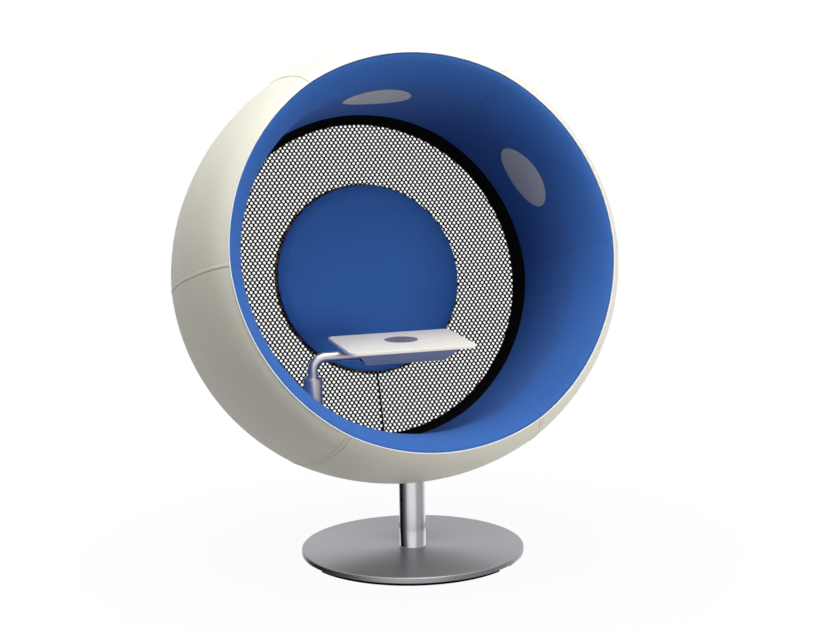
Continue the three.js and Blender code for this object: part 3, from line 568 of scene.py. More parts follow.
def weighed(wires, first, first_share, second, second_share):
    """The sum of two values by their shares"""
    return wires.math("ADD", wires.math("MULTIPLY", first, first_share),
                      wires.math("MULTIPLY", second, second_share))


def blended(wires, share, first, second):
    """One colour turning into another as a share goes from 0 to 1"""
    return wires.add("ShaderNodeMix", {"Factor": share, 6: first, 7: second}, data_type="RGBA").outputs[2]


def tinted(wires, base, value, darkest, lightest):
    """The base colour, lighter and darker with a value from 0 to 1"""
    shade = between(wires, value, darkest, lightest)
    return wires.add("ShaderNodeHueSaturation", {"Value": shade, "Color": (*base, 1)}).outputs["Color"]


def place_of(wires, surface=False):
    """A piece's own coordinates, or its surface map"""
    return wires.add("ShaderNodeTexCoord").outputs["UV" if surface else "Object"]


def stretched(wires, vector, scale):
    """Coordinates stretched along their axes"""
    return wires.add("ShaderNodeMapping", {"Vector": vector, "Scale": scale}).outputs["Vector"]


# Finishes


def leather(name, base, roughness=0.52):
    """Fine-grained leather, a little uneven in tone, with worn-in pores"""
    material, wires = new_material(name)
    place = place_of(wires)
    cloud = noise(wires, place, 3.2, 4)
    mottle = noise(wires, place, 26, 5, 0.6)
    tone = weighed(wires, cloud, 0.7, mottle, 0.3)
    pores = wires.add("ShaderNodeTexVoronoi", {"Vector": place, "Scale": 520.0, "Randomness": 0.9},
                      feature="SMOOTH_F1").outputs["Distance"]
    creases = noise(wires, place, 190, 4, 0.7)
    grain = weighed(wires, pores, 0.7, creases, 0.5)
    rough = between(wires, mottle, roughness - 0.05, roughness + 0.06)
    surface = wires.add("ShaderNodeBsdfPrincipled", {
        "Base Color": tinted(wires, base, tone, 0.955, 1.03), "Roughness": rough,
        "Specular IOR Level": 0.42, "Coat Weight": 0.04, "Coat Roughness": 0.35,
    })
    close_material(wires, surface, grain, 0.00022, 0.7)
    return material


def cloth(name, base, pitch=0.0011, sheen=0.06):
    """Smooth woven cloth on the piece's own surface map, with a soft nap"""
    material, wires = new_material(name)
    place = place_of(wires)
    split = wires.add("ShaderNodeSeparateXYZ", {"Vector": place_of(wires, surface=True)})
    rate = math.pi / pitch
    across = wires.math("SINE", wires.math("MULTIPLY", split.outputs["X"], rate))
    along = wires.math("SINE", wires.math("MULTIPLY", split.outputs["Y"], rate))
    weave = wires.math("MULTIPLY", across, along)
    fuzz = noise(wires, place, 700, 3, 0.7)
    cloud = noise(wires, place, 4.5, 4)
    fleck = noise(wires, place, 60, 5, 0.65)
    tone = weighed(wires, cloud, 0.6, fleck, 0.4)
    height = wires.math("ADD", wires.math("MULTIPLY", weave, 0.5), fuzz)
    surface = wires.add("ShaderNodeBsdfPrincipled", {
        "Base Color": tinted(wires, base, tone, 0.93, 1.06), "Roughness": between(wires, fuzz, 0.72, 0.88),
        "Specular IOR Level": 0.25, "Sheen Weight": sheen, "Sheen Roughness": 0.45,
        "Sheen Tint": (0.62, 0.76, 1.0, 1),
    })
    close_material(wires, surface, height, 0.0003, 0.6)
    return material


def net_cloth(name, base):
    """Black coated fabric with a fine knit"""
    material, wires = new_material(name)
    place = place_of(wires)
    knit = wires.add("ShaderNodeTexWave", {
        "Vector": place, "Scale": 420.0, "Distortion": 1.5, "Detail": 2.0,
    }, wave_type="BANDS", bands_direction="DIAGONAL").outputs["Fac"]
    tone = noise(wires, place, 45, 4)
    surface = wires.add("ShaderNodeBsdfPrincipled", {
        "Base Color": tinted(wires, base, tone, 0.75, 1.3), "Roughness": between(wires, knit, 0.6, 0.85),
        "Specular IOR Level": 0.15,
    })
    close_material(wires, surface, knit, 0.00015, 0.6)
    return material


def grille_cloth(name, base):
    """Mesh stretched over a speaker, on the piece's own surface map, its holes painted darker as painted shade"""
    material, wires = new_material(name)
    place = place_of(wires, surface=True)
    dots = wires.add("ShaderNodeTexVoronoi", {"Vector": place, "Scale": 430.0, "Randomness": 0.0},
                     feature="F1").outputs["Distance"]
    open_share = between(wires, dots, 0.0, 1.0, 0.75, 1.0)
    tone = noise(wires, place_of(wires), 40, 4)
    threads = tinted(wires, base, tone, 0.92, 1.06)
    # The holes are painted darker than the threads: painted shade from the dark space behind the grille
    holes = (*[channel * 0.7 for channel in base], 1)
    mixed = blended(wires, open_share, holes, threads)
    surface = wires.add("ShaderNodeBsdfPrincipled", {
        "Base Color": mixed, "Roughness": between(wires, tone, 0.7, 0.85), "Specular IOR Level": 0.3,
        "Sheen Weight": 0.1, "Sheen Roughness": 0.5,
    })
    close_material(wires, surface, open_share, 0.0004, 0.6)
    return material


def moulded(name, base, roughness=0.5, specular=0.5):
    """Moulded plastic or rubber with a fine matt texture"""
    material, wires = new_material(name)
    place = place_of(wires)
    speckle = noise(wires, place, 900, 2, 0.6)
    cloud = noise(wires, place, 12, 4)
    surface = wires.add("ShaderNodeBsdfPrincipled", {
        "Base Color": tinted(wires, base, cloud, 0.9, 1.12),
        "Roughness": between(wires, cloud, roughness - 0.06, roughness + 0.08),
        "Specular IOR Level": specular,
    })
    close_material(wires, surface, speckle, 0.00008, 0.5)
    return material


def brushed_steel(name, base, stretch, roughness, anisotropy, metallic=1.0, across=0.0):
    """Steel with fine drawn lines; across is the share of a turn by which its gloss is turned"""
    material, wires = new_material(name)
    place = place_of(wires)
    lines = noise(wires, stretched(wires, place, stretch), 1.0, 5, 0.65)
    cloud = noise(wires, place, 7, 3)
    tone = weighed(wires, lines, 0.55, cloud, 0.45)
    surface = wires.add("ShaderNodeBsdfPrincipled", {
        "Base Color": tinted(wires, base, tone, 0.93, 1.06), "Metallic": metallic,
        "Roughness": between(wires, lines, roughness - 0.05, roughness + 0.06),
        "Anisotropic": anisotropy, "Anisotropic Rotation": across,
    })
    close_material(wires, surface, lines, 0.00004, 0.5)
    return material


def plywood(name, base):
    """Birch plywood with long grain"""
    material, wires = new_material(name)
    place = place_of(wires)
    grain = noise(wires, stretched(wires, place, (60, 60, 6)), 1.0, 6, 0.6, 0.6)
    surface = wires.add("ShaderNodeBsdfPrincipled", {
        "Base Color": tinted(wires, base, grain, 0.8, 1.12), "Roughness": between(wires, grain, 0.6, 0.75),
    })
    close_material(wires, surface, grain, 0.0002, 0.5)
    return material


def lacquer(name, base):
    """Satin lacquer with a faint orange peel"""
    material, wires = new_material(name)
    place = place_of(wires)
    peel = noise(wires, place, 240, 3, 0.5)
    cloud = noise(wires, place, 9, 4)
    surface = wires.add("ShaderNodeBsdfPrincipled", {
        "Base Color": tinted(wires, base, cloud, 0.97, 1.02), "Roughness": between(wires, cloud, 0.5, 0.6),
        "Specular IOR Level": 0.22, "Coat Weight": 0.03, "Coat Roughness": 0.3,
    })
    close_material(wires, surface, peel, 0.00006, 0.5)
    return material


def make_finishes():
    """Every finish of the chair, by its name"""
    c = colours()
    return {
        "cover_leather": leather("cover leather", c.cover),
        "piping": leather("piping leather", c.piping, 0.45),
        "lining_cloth": cloth("lining cloth", c.lining),
        "pad_cloth": cloth("pad cloth", c.pad),
        "net_black": net_cloth("back net", c.net),
        "black_ring": moulded("back ring", c.ring, 0.7, 0.08),
        "grille_cloth": grille_cloth("speaker grille", c.grille),
        "plate_steel": brushed_steel("base plate steel", c.plate, (300, 300, 300), 0.4, 0.5, across=0.25),
        "satin_steel": brushed_steel("satin steel", c.steel, (300, 300, 9), 0.24, 0.0),
        "arm_steel": brushed_steel("arm steel", c.arm_steel, (300, 300, 9), 0.38, 0.0),
        "housing": brushed_steel("housing steel", c.housing, (200, 200, 200), 0.4, 0.0, metallic=0.5),
        "rubber": moulded("foot rubber", c.rubber, 0.6, 0.05),
        "table_cream": lacquer("table lacquer", c.table),
        "table_metal": brushed_steel("table disc steel", c.disc, (900, 14, 14), 0.42, 0.2, metallic=0.7),
        "black_plastic": moulded("black plastic", c.plastic, 0.5),
        "frame_steel": moulded("painted frame", c.frame_steel, 0.45),
        "plywood": plywood("plywood", c.plywood),
        "bronze": brushed_steel("bearing bronze", c.bronze, (40, 40, 800), 0.3, 0.3),
        "thread": leather("seam thread", c.thread, 0.6),
    }


FINISHES = {}


def finish_of(name):
    """A finish by its name; all of them are made at the first call"""
    if not FINISHES:
        FINISHES.update(make_finishes())
    return FINISHES[name]


# The barrel's profile


def outer_radius(s, station):
    """The cover's radius at a place along the pod's axis"""
    along = station - s.widest
    curve = np.where(along > 0, s.front_curve, s.rear_curve)
    return s.radius - curve + np.sqrt(curve ** 2 - along ** 2)


def wall_radius(s, station):
    """The lining's radius between the lip and the back ring"""
    lip = s.rim - s.lip_depth
    share = (station - lip) / (s.ring_station - lip)
    return s.lip_radius + (s.ring_radius - s.lip_radius) * share + s.wall_bulge * np.sin(np.pi * share)


def panel_pull(angles):
    """How far a panel falls short of the round"""
    place = np.interp(np.mod(angles - SEAMS[0], 2 * math.pi) + SEAMS[0], SEAMS, np.arange(PANELS + 1))
    return pod_sizes().panel_pull * np.sin(np.pi * np.mod(place, 1))


def pairs(radii, stations):
    """Points of an outline from radii and places along the axis"""
    return np.stack([np.broadcast_to(radii, stations.shape), stations], -1)


def cover_outline(s):
    """The cover's section: what shows first, then the hidden side; and how many points show"""
    along = np.linspace(s.rear_seam, s.shoulder, 41)
    outside = pairs(outer_radius(s, along), along)
    edge = s.rim_radius + HALF_TAPE
    start = float(outer_radius(s, s.shoulder))
    ahead = s.shoulder - s.widest
    turned_in = s.shoulder_run * ahead / math.sqrt(s.front_curve ** 2 - ahead ** 2)
    knee = (start - turned_in, s.shoulder + s.shoulder_run)
    shoulder = bezier([(start, s.shoulder), knee, (edge, s.rim)], 24)[1:]
    back = np.linspace(s.rim - s.parting * 4 / 3, s.rear_seam, 12)
    inside = pairs(outer_radius(s, back) - s.cover_thickness, back)
    shown = np.concatenate([outside, shoulder])
    return np.concatenate([shown, [(edge, s.rim - s.parting)], inside]), len(shown)


def lining_outline(s):
    """The lining's section: what shows first, then the hidden side; and how many points show"""
    edge = s.rim_radius - HALF_TAPE
    lip = s.rim - s.lip_depth
    width = s.rim_radius - s.lip_radius
    front = bezier([(edge, s.rim), (edge - width * 5 / 16, s.rim),
                    (s.lip_radius, s.rim - s.lip_depth * 2 / 5), (s.lip_radius, lip)], 26)
    along = np.linspace(lip, s.ring_station + GAP, 37)[1:]
    wall = pairs(wall_radius(s, along), along)
    back = np.linspace(s.ring_station + GAP, lip, 12)
    outside = pairs(wall_radius(s, back) + s.lining_thickness, back)
    shown = np.concatenate([front, wall])
    return np.concatenate([shown, outside, [(edge, s.rim - s.parting)]]), len(shown)


def outline_normals(outline):
    """Which way is out at each point of a closed outline"""
    after = np.roll(outline, -1, 0) - outline
    after /= np.linalg.norm(after, axis=1)[:, None]
    mean = after + np.roll(after, 1, 0)
    mean /= np.linalg.norm(mean, axis=1)[:, None]
    normals = np.stack([mean[:, 1], -mean[:, 0]], -1)
    x, y = outline[:, 0], outline[:, 1]
    area = np.sum(x * np.roll(y, -1) - y * np.roll(x, -1))
    return normals if area > 0 else -normals


# From a seam to the first points of a panel, close together at the lap and its fold, in millimetres
SEAM_STEPS = np.array([0, 0.4, 0.8, 1.3, 2, 3, 4.5, 6.5, 9, 11.5, 13, 14, 15, 16.5, 19, 23, 28, 35, 44])


def panel_angles(index, radius):
    """Angles across one panel, close together near its seams, and how far each is from either seam"""
    near = SEAM_STEPS / 1000
    sweep = SEAMS[index + 1] - SEAMS[index]
    total = radius * sweep
    middle = np.linspace(near[-1], total - near[-1], 36)[1:-1]
    along = np.concatenate([near, middle, total - near[::-1]])
    inset = GAP / 2 / radius
    share = along / total
    return SEAMS[index] + inset + share * (sweep - 2 * inset), along, total - along


def step_up(value, low, high):
    """From 0 to 1, softly, as a value passes from low to high"""
    share = np.clip((value - low) / (high - low), 0, 1)
    return share * share * (3 - 2 * share)


def nearby(value, middle, width):
    """1 at a place, fading to 0 on both sides"""
    return np.exp(-((value - middle) / width) ** 2)


def dent(value, depth, width, middle=0):
    """A groove at a place"""
    return -depth * nearby(value, middle, width)


def tucks(angles, from_rim, height, count):
    """Small gathers beside the piping"""
    reach = 0.03
    return height * np.sin(angles * count) * nearby(from_rim, 0, reach)


def waves(angles, stations, height, seed, count=7, finest=9.0):
    """Soft unevenness of a padded skin, the same each run"""
    chance = np.random.default_rng(seed)
    total = np.zeros(np.broadcast(angles, stations).shape)
    for _ in range(count):
        round_rate, along_rate = chance.uniform(1.5, finest), chance.uniform(2.0, finest * 1.6)
        phase = chance.uniform(0, 2 * math.pi, 2)
        total += np.sin(angles * round_rate + phase[0]) * np.sin(stations * along_rate * 2 + phase[1])
    return height * (total / count)


def padded_panel(name, index, outline, shown, relief, radius):
    """One panel of padding between two seams, closed all round"""
    s = pod_sizes()
    angles, from_start, from_end = panel_angles(index, radius)
    normals = outline_normals(outline)
    show = np.zeros(len(outline))
    show[:shown] = 1
    stations = outline[:, 1]
    run = np.concatenate([[0], np.cumsum(np.linalg.norm(np.diff(outline, axis=0), axis=1))])
    off_rim = np.abs(stations[:shown] - s.rim) + np.abs(outline[:shown, 0] - s.rim_radius)
    from_rim = np.abs(run - run[np.argmin(off_rim)])
    height = relief(angles[:, None], from_start[:, None], from_end[:, None], stations[None, :],
                    from_rim[None, :]) * show[None, :]
    radii = outline[None, :, 0] + normals[None, :, 0] * height - panel_pull(angles)[:, None]
    levels = outline[None, :, 1] + normals[None, :, 1] * height
    points = around(radii, angles[:, None], levels).reshape(-1, 3)
    spots = np.stack([np.broadcast_to((from_start + index * radius * SWEEP)[:, None], radii.shape),
                      np.broadcast_to(run[None, :], radii.shape)], -1).reshape(-1, 2)
    faces = loft_faces(len(angles), len(outline))
    return piece_of(name, moved(points, pod_matrix()), faces, spots, 50)


# Padded pieces


class PODCHAIR_OT_cover(bpy.types.Operator):
    """Makes the six padded panels of the off-white cover, with lapped seams"""
    bl_idname = "pod_chair.cover"
    bl_label = "Cover Panels"

    def execute(self, context):
        s, t = pod_sizes(), steel_sizes()
        outline, shown = cover_outline(s)
        lap_start, lap_end = s.lap_width + 0.0010, s.lap_width - 0.0030
        stitch_row = s.lap_width + 0.0006
        smooth_rear = 0.02

        def relief(angles, from_start, from_end, stations, from_rim):
            lap = s.lap_height * step_up(-from_end, -lap_start, -lap_end)
            groove = dent(from_end, depth=0.0005, width=0.0011, middle=stitch_row)
            fold = dent(from_end, depth=0.0042, width=0.0010)
            crease = dent(from_start, depth=0.0034, width=0.0010)
            under = crease + dent(from_start, depth=0.0008, width=0.0050)
            soft = waves(angles, stations, height=0.0011, seed=11)
            gathers = tucks(angles, from_rim, height=0.0004, count=71)
            edge = dent(from_rim, depth=0.0007, width=0.0030)
            fade = step_up(stations, s.rear_seam, s.rear_seam + smooth_rear)
            return lap + groove + fold + under + gathers + edge + soft * fade

        for index in range(PANELS):
            piece = padded_panel(f"cover_{index + 1}", index, outline, shown, relief, s.radius)
            if index == COLUMN_PANEL:
                hole = t.column_radius + HOLE_SLACK
                cut_out(piece, pillar("column hole", hole, 0, s.height, swivel_matrix()))
            dress(piece, "cover_leather", "pod", f"cover_panel_{index + 1}")
        return {"FINISHED"}


class PODCHAIR_OT_lining(bpy.types.Operator):
    """Makes the six padded panels of the blue lining, with openings for the sleeve and the speakers"""
    bl_idname = "pod_chair.lining"
    bl_label = "Lining Panels"

    def execute(self, context):
        s, t = pod_sizes(), steel_sizes()
        outline, shown = lining_outline(s)
        smooth_rear = 0.03

        def relief(angles, from_start, from_end, stations, from_rim):
            seam = dent(np.minimum(from_start, from_end), depth=0.0005, width=0.0010)
            soft = waves(angles, stations, height=0.0010, seed=23, count=8, finest=11.0)
            gathers = tucks(angles, from_rim, height=0.0003, count=83)
            edge = dent(from_rim, depth=0.0024, width=0.0028)
            fade = step_up(stations, s.ring_station, s.ring_station + smooth_rear)
            return seam + gathers + edge + soft * fade

        for index in range(PANELS):
            piece = padded_panel(f"lining_{index + 1}", index, outline, shown, relief, s.lip_radius)
            tools = [grille_tool(angle) for angle in SPEAKERS.values() if angle * PANELS // 360 == index]
            if index == SLEEVE_PANEL:
                tools.append(pillar("sleeve hole", t.sleeve_radius + HOLE_SLACK, 0, POST[2], post_matrix()))
            if tools:
                cut_out(piece, *tools)
            dress(piece, "lining_cloth", "pod", f"lining_panel_{index + 1}")
        return {"FINISHED"}


def grille_tool(angle):
    """What cuts a speaker's opening into the lining, at an angle in degrees"""
    s, b = pod_sizes(), back_sizes()
    turned = Matrix.Rotation(math.radians(angle), 4, "Z") @ Matrix.Translation((0, 0, b.grille_station))
    matrix = pod_matrix() @ turned @ Matrix.Rotation(math.pi / 2, 4, "Y")
    return pillar("grille hole", b.grille_radius + HOLE_SLACK, s.lip_radius / 2, s.radius, matrix)


class PODCHAIR_OT_rear_cover(bpy.types.Operator):
    """Makes the rolled off-white edge at the back of the pod"""
    bl_idname = "pod_chair.rear_cover"
    bl_label = "Rear Cover"

    def execute(self, context):
        s, b = pod_sizes(), back_sizes()
        roll, clear_of_screws = 0.010, 0.002
        clamp_rear = net_rear() - 2 * GAP - b.clamp_thickness
        face = s.rear_seam - GAP
        radius = float(outer_radius(s, np.array(face)))
        inner = (s.ring_radius + b.ring_inner) / 2 + clear_of_screws
        edge = bezier([(radius, face), (radius - roll, s.rear), (radius - s.cover_thickness, s.rear),
                       (inner, (s.rear + clamp_rear) / 2)], 26)
        step = s.ring_radius + s.lining_thickness + s.panel_pull + GAP
        rest = np.array([(inner, clamp_rear - GAP), (step, clamp_rear - GAP), (step, face)])
        outline = np.concatenate([edge, rest])

        def relief(angles, from_start, from_end, stations, from_rim):
            seam = dent(np.minimum(from_start, from_end), depth=0.0016, width=0.0022)
            rolled = dent(stations, depth=0.0016, width=0.003, middle=face)
            return seam + rolled + waves(angles, stations, height=0.0008, seed=31)

        parts = [padded_panel(f"rear {index}", index, outline, len(edge), relief, s.radius)
                 for index in range(PANELS)]
        piece = joined("rear_cover_roll", *parts)

        # The opening for the mains inlet, low at the back
        half_width, half_height, rounding = 0.0259, 0.0129, 0.001
        behind, deep = 0.02, 0.06
        centre = s.rim_radius - 0.010
        inlet_angle = math.radians(-75)
        place = pod_matrix() @ Matrix.Rotation(inlet_angle, 4, "Z")
        low = (centre - half_height, -half_width, s.rear - behind)
        high = (centre + half_height, half_width, s.rear + deep)
        cut_out(piece, bevelled_block("inlet hole", low, high, place, rounding))
        dress(piece, "cover_leather", "pod", "rear_cover")
        return {"FINISHED"}


class PODCHAIR_OT_piping(bpy.types.Operator):
    """Makes the piping between cover and lining, round the opening"""
    bl_idname = "pod_chair.piping"
    bl_label = "Piping"

    def execute(self, context):
        s = pod_sizes()
        tape_depth = 0.018
        turns = np.linspace(-math.pi / 8, math.pi * 9 / 8, 15)
        bead = np.stack([s.rim_radius + s.piping_radius * np.cos(turns),
                         s.rim + GAP + s.piping_radius * (1 + np.sin(turns))], -1)
        half = HALF_TAPE - GAP
        tape = np.array([(s.rim_radius - half, s.rim), (s.rim_radius - half, s.rim - tape_depth),
                         (s.rim_radius + half, s.rim - tape_depth), (s.rim_radius + half, s.rim)])
        piece = turned_piece("rim_piping", np.concatenate([tape, bead]), pod_matrix(), 360, pull=panel_pull)
        dress(piece, "piping", "pod", "front_piping")
        return {"FINISHED"}


def swell(piece, voxel, pressure, cap, frames=20):
    """Lets a closed piece swell like a filled pad and keeps the result"""
    remesh = piece.modifiers.new("remesh", "REMESH")
    remesh.mode = "VOXEL"
    remesh.voxel_size = voxel
    settle(piece)
    start = points_of(piece)
    cloth_modifier = piece.modifiers.new("cloth", "CLOTH")
    settings = cloth_modifier.settings
    settings.quality = 4
    settings.mass = 0.15
    settings.use_pressure = True
    settings.uniform_pressure_force = pressure
    settings.tension_stiffness = 30
    settings.compression_stiffness = 30
    settings.bending_stiffness = 2
    settings.effector_weights.gravity = 0
    cloth_modifier.collision_settings.use_collision = False
    cloth_modifier.point_cache.frame_start = 1
    cloth_modifier.point_cache.frame_end = frames
    for number in range(1, frames + 1):
        bpy.context.scene.frame_set(number)
    settle(piece)
    bpy.context.scene.frame_set(1)
    move = points_of(piece) - start
    size = np.linalg.norm(move, axis=1)
    move *= np.minimum(1, cap / np.maximum(size, 1e-9))[:, None]
    return start + move


class PODCHAIR_OT_back_pad(bpy.types.Operator):
    """Makes the round blue pad in the middle of the back"""
    bl_idname = "pod_chair.back_pad"
    bl_label = "Back Pad"

    def execute(self, context):
        b = back_sizes()
        rear = b.net + GAP
        swelling = 0.005
        radius = b.pad_radius - swelling
        height = b.pad_thickness - swelling
        foot_inset, side_low, side_high, crown_run = 0.004, 0.008, 0.016, 0.035
        crown = bezier([(radius, rear + side_low), (radius, rear + side_high - swelling / 2),
                        (radius - crown_run, rear + height), (0, rear + height)], 40)
        outline = np.concatenate([[(0, rear)], [(radius - foot_inset, rear)], crown])
        piece = turned_piece("round_back_pad", outline, Matrix.Identity(4), 160, False)
        points = swell(piece, voxel=0.006, pressure=4.0, cap=0.006)

        # The seam round the front, and the pad held within its radius and its fullest height
        seam_inset, seam_low, seam_high, fullness = 0.018, 0.004, 0.014, 0.004
        away = np.hypot(points[:, 0], points[:, 1])
        front = step_up(points[:, 2], rear + seam_low, rear + seam_high)
        points[:, 2] += dent(away, depth=0.0012, width=0.0022, middle=b.pad_radius - seam_inset) * front
        points[:, :2] /= np.maximum(away / b.pad_radius, 1)[:, None]
        points[:, 2] = np.clip(points[:, 2], rear, rear + b.pad_thickness + fullness)
        piece.data.vertices.foreach_set("co", moved(points, pod_matrix()).ravel())
        add_surface_map(piece.data, points[:, :2])
        piece.data.update()
        piece.data.shade_smooth()
        finer = piece.modifiers.new("finer", "SUBSURF")
        finer.levels = finer.render_levels = 1
        settle(piece)
        piece.data.shade_smooth()
        dress(piece, "pad_cloth", "pod", "back_pad")
        return {"FINISHED"}


# Net, rings and what sits on them


def repeat_tree(name, *numbers):
    """An empty Geometry Nodes tree with a geometry input, named numbers and a material"""
    tree = bpy.data.node_groups.new(name, "GeometryNodeTree")
    face = tree.interface
    face.new_socket("Geometry", in_out="INPUT", socket_type="NodeSocketGeometry")
    for label, kind in numbers:
        face.new_socket(label, in_out="INPUT", socket_type=kind)
    face.new_socket("Finish", in_out="INPUT", socket_type="NodeSocketMaterial")
    face.new_socket("Geometry", in_out="OUTPUT", socket_type="NodeSocketGeometry")
    wires = Wiring(tree)
    return tree, wires, wires.add("NodeGroupInput").outputs


def close_tree(wires, geometry, finish):
    """Turns a tree's instances into one welded mesh with its finish"""
    whole = wires.add("GeometryNodeRealizeInstances", {"Geometry": geometry}).outputs[0]
    merged = wires.add("GeometryNodeMergeByDistance", {"Geometry": whole, "Distance": 0.00005}).outputs[0]
    dressed = wires.add("GeometryNodeSetMaterial", {"Geometry": merged, "Material": finish}).outputs[0]
    wires.add("NodeGroupOutput", {"Geometry": dressed})


def run_tree(piece, tree, values, *after):
    """Runs a tree on a piece with named values, and any modifiers after it"""
    modifier = piece.modifiers.new(tree.name, "NODES")
    modifier.node_group = tree
    for item in tree.interface.items_tree:
        if item.item_type == "SOCKET" and item.in_out == "INPUT" and item.name in values:
            modifier[item.identifier] = values[item.name]
    for kind, settings in after:
        extra = piece.modifiers.new(kind, kind)
        for key, value in settings.items():
            setattr(extra, key, value)
    settle(piece)


FLOAT = "NodeSocketFloat"
WHOLE = "NodeSocketInt"


def net_tree():
    """A sheet of six-sided cells, each with a round hole, in staggered rows between two radii"""
    tree, wires, given = repeat_tree(
        "Net holes", ("Hole Pitch", FLOAT), ("Row Pitch", FLOAT), ("Hole Radius", FLOAT),
        ("Nearest", FLOAT), ("Farthest", FLOAT), ("Columns", WHOLE), ("Rows", WHOLE))
    pitch, row, hole = given["Hole Pitch"], given["Row Pitch"], given["Hole Radius"]
    wide = wires.math("MULTIPLY", pitch, wires.math("SUBTRACT", given["Columns"], 1.0))
    high = wires.math("MULTIPLY", row, wires.math("SUBTRACT", given["Rows"], 1.0))
    grid = wires.add("GeometryNodeMeshGrid", {
        "Size X": wide, "Size Y": high, "Vertices X": given["Columns"], "Vertices Y": given["Rows"],
    }).outputs["Mesh"]
    split = place_split(wires)
    number = wires.math("ROUND", wires.math("DIVIDE", split.outputs["Y"], row))
    odd = wires.math("FLOORED_MODULO", number, 2.0)
    shift = wires.add("ShaderNodeCombineXYZ", {
        "X": wires.math("MULTIPLY", odd, wires.math("MULTIPLY", pitch, 0.5)),
    }).outputs[0]
    staggered = wires.add("GeometryNodeSetPosition", {"Geometry": grid, "Offset": shift}).outputs[0]
    place = wires.add("GeometryNodeInputPosition").outputs[0]
    away = wires.add("ShaderNodeVectorMath", {0: place}, operation="LENGTH").outputs["Value"]
    too_near = wires.math("LESS_THAN", away, given["Nearest"])
    too_far = wires.math("GREATER_THAN", away, given["Farthest"])
    kept = wires.add("GeometryNodeDeleteGeometry", {
        "Geometry": staggered, "Selection": wires.math("ADD", too_near, too_far, clamp=True),
    }, domain="POINT").outputs[0]

    # One cell: a round hole whose rim is drawn out to the six sides that it shares with its neighbours.
    # The tenfold makes any point off the middle line count as fully left, right, up or down of it.
    rim = wires.add("GeometryNodeMeshCircle", {"Vertices": 8, "Radius": hole}).outputs[0]
    drawn = wires.add("GeometryNodeExtrudeMesh", {"Mesh": rim, "Offset Scale": 0.0}, mode="EDGES")
    spot = place_split(wires)
    to_x = wires.math("DIVIDE", spot.outputs["X"], hole)
    to_y = wires.math("DIVIDE", spot.outputs["Y"], hole)
    sign_x = limited(wires, wires.math("MULTIPLY", to_x, 10.0))
    sign_y = limited(wires, wires.math("MULTIPLY", to_y, 10.0))
    sideways = wires.math("MULTIPLY", wires.math("ABSOLUTE", to_x), 10.0)
    upright = wires.math("SUBTRACT", 1.0, sideways, clamp=True)
    half_square = wires.math("MULTIPLY", wires.math("POWER", pitch, 2.0), 0.25)
    twice_row = wires.math("MULTIPLY", row, 2.0)
    row_square = wires.math("POWER", row, 2.0)
    side_height = wires.math("DIVIDE", wires.math("SUBTRACT", row_square, half_square), twice_row)
    tip_height = wires.math("DIVIDE", wires.math("ADD", row_square, half_square), twice_row)
    more = wires.math("MULTIPLY", wires.math("SUBTRACT", tip_height, side_height), upright)
    corner = wires.add("ShaderNodeCombineXYZ", {
        "X": wires.math("MULTIPLY", sign_x, wires.math("MULTIPLY", pitch, 0.5)),
        "Y": wires.math("MULTIPLY", sign_y, wires.math("ADD", side_height, more)),
    }).outputs[0]
    cell = wires.add("GeometryNodeSetPosition", {
        "Geometry": drawn.outputs["Mesh"], "Selection": drawn.outputs["Top"], "Position": corner,
    }).outputs[0]
    cells = wires.add("GeometryNodeInstanceOnPoints", {"Points": kept, "Instance": cell}).outputs[0]
    close_tree(wires, cells, given["Finish"])
    return tree


def limited(wires, value):
    """A value held between -1 and 1"""
    return wires.math("MAXIMUM", wires.math("MINIMUM", value, 1.0), -1.0)


def place_split(wires):
    """The three parts of a point's place"""
    place = wires.add("GeometryNodeInputPosition").outputs[0]
    return wires.add("ShaderNodeSeparateXYZ", {"Vector": place})


def starter(name, points=((0, 0, 0),), edges=()):
    """A piece of bare points and edges, for a tree to start from"""
    mesh = bpy.data.meshes.new(name)
    mesh.from_pydata([tuple(point) for point in points], list(edges), [])
    return linked(name, mesh)


class PODCHAIR_OT_net(bpy.types.Operator):
    """Makes the perforated black net across the back"""
    bl_idname = "pod_chair.net"
    bl_label = "Back Net"

    def execute(self, context):
        b = back_sizes()
        piece = starter("perforated_net")
        under_ring, under_board = 0.010, 0.007
        farthest = b.ring_inner + under_ring
        run_tree(piece, net_tree(), {
            "Hole Pitch": b.hole_pitch, "Row Pitch": b.row_pitch, "Hole Radius": b.hole_radius,
            "Nearest": b.board_radius - under_board, "Farthest": farthest,
            "Columns": 2 * math.ceil(farthest / b.hole_pitch) + 1,
            "Rows": 2 * math.ceil(farthest / b.row_pitch) + 1, "Finish": finish_of("net_black"),
        }, ("SOLIDIFY", {"thickness": b.net_thickness, "offset": 0.0}))
        level = Matrix.Translation((0, 0, b.net - NET_ROOM / 2))
        piece.data.transform(pod_matrix() @ level)
        weld(piece.data)
        dress(piece, "net_black", "pod", "back_net")
        return {"FINISHED"}


def dome_tree():
    """Domed screw heads on a circle"""
    tree, wires, given = repeat_tree(
        "Screw heads", ("Count", WHOLE), ("Circle Radius", FLOAT), ("Head Radius", FLOAT))
    spots = wires.add("GeometryNodeMeshCircle", {
        "Vertices": given["Count"], "Radius": given["Circle Radius"]}).outputs[0]
    ball = wires.add("GeometryNodeMeshUVSphere", {
        "Segments": 14, "Rings": 8, "Radius": given["Head Radius"]}).outputs[0]
    head = wires.add("GeometryNodeTransform", {"Geometry": ball, "Scale": (1, 1, 0.45)}).outputs[0]
    heads = wires.add("GeometryNodeInstanceOnPoints", {"Points": spots, "Instance": head}).outputs[0]
    close_tree(wires, heads, given["Finish"])
    return tree


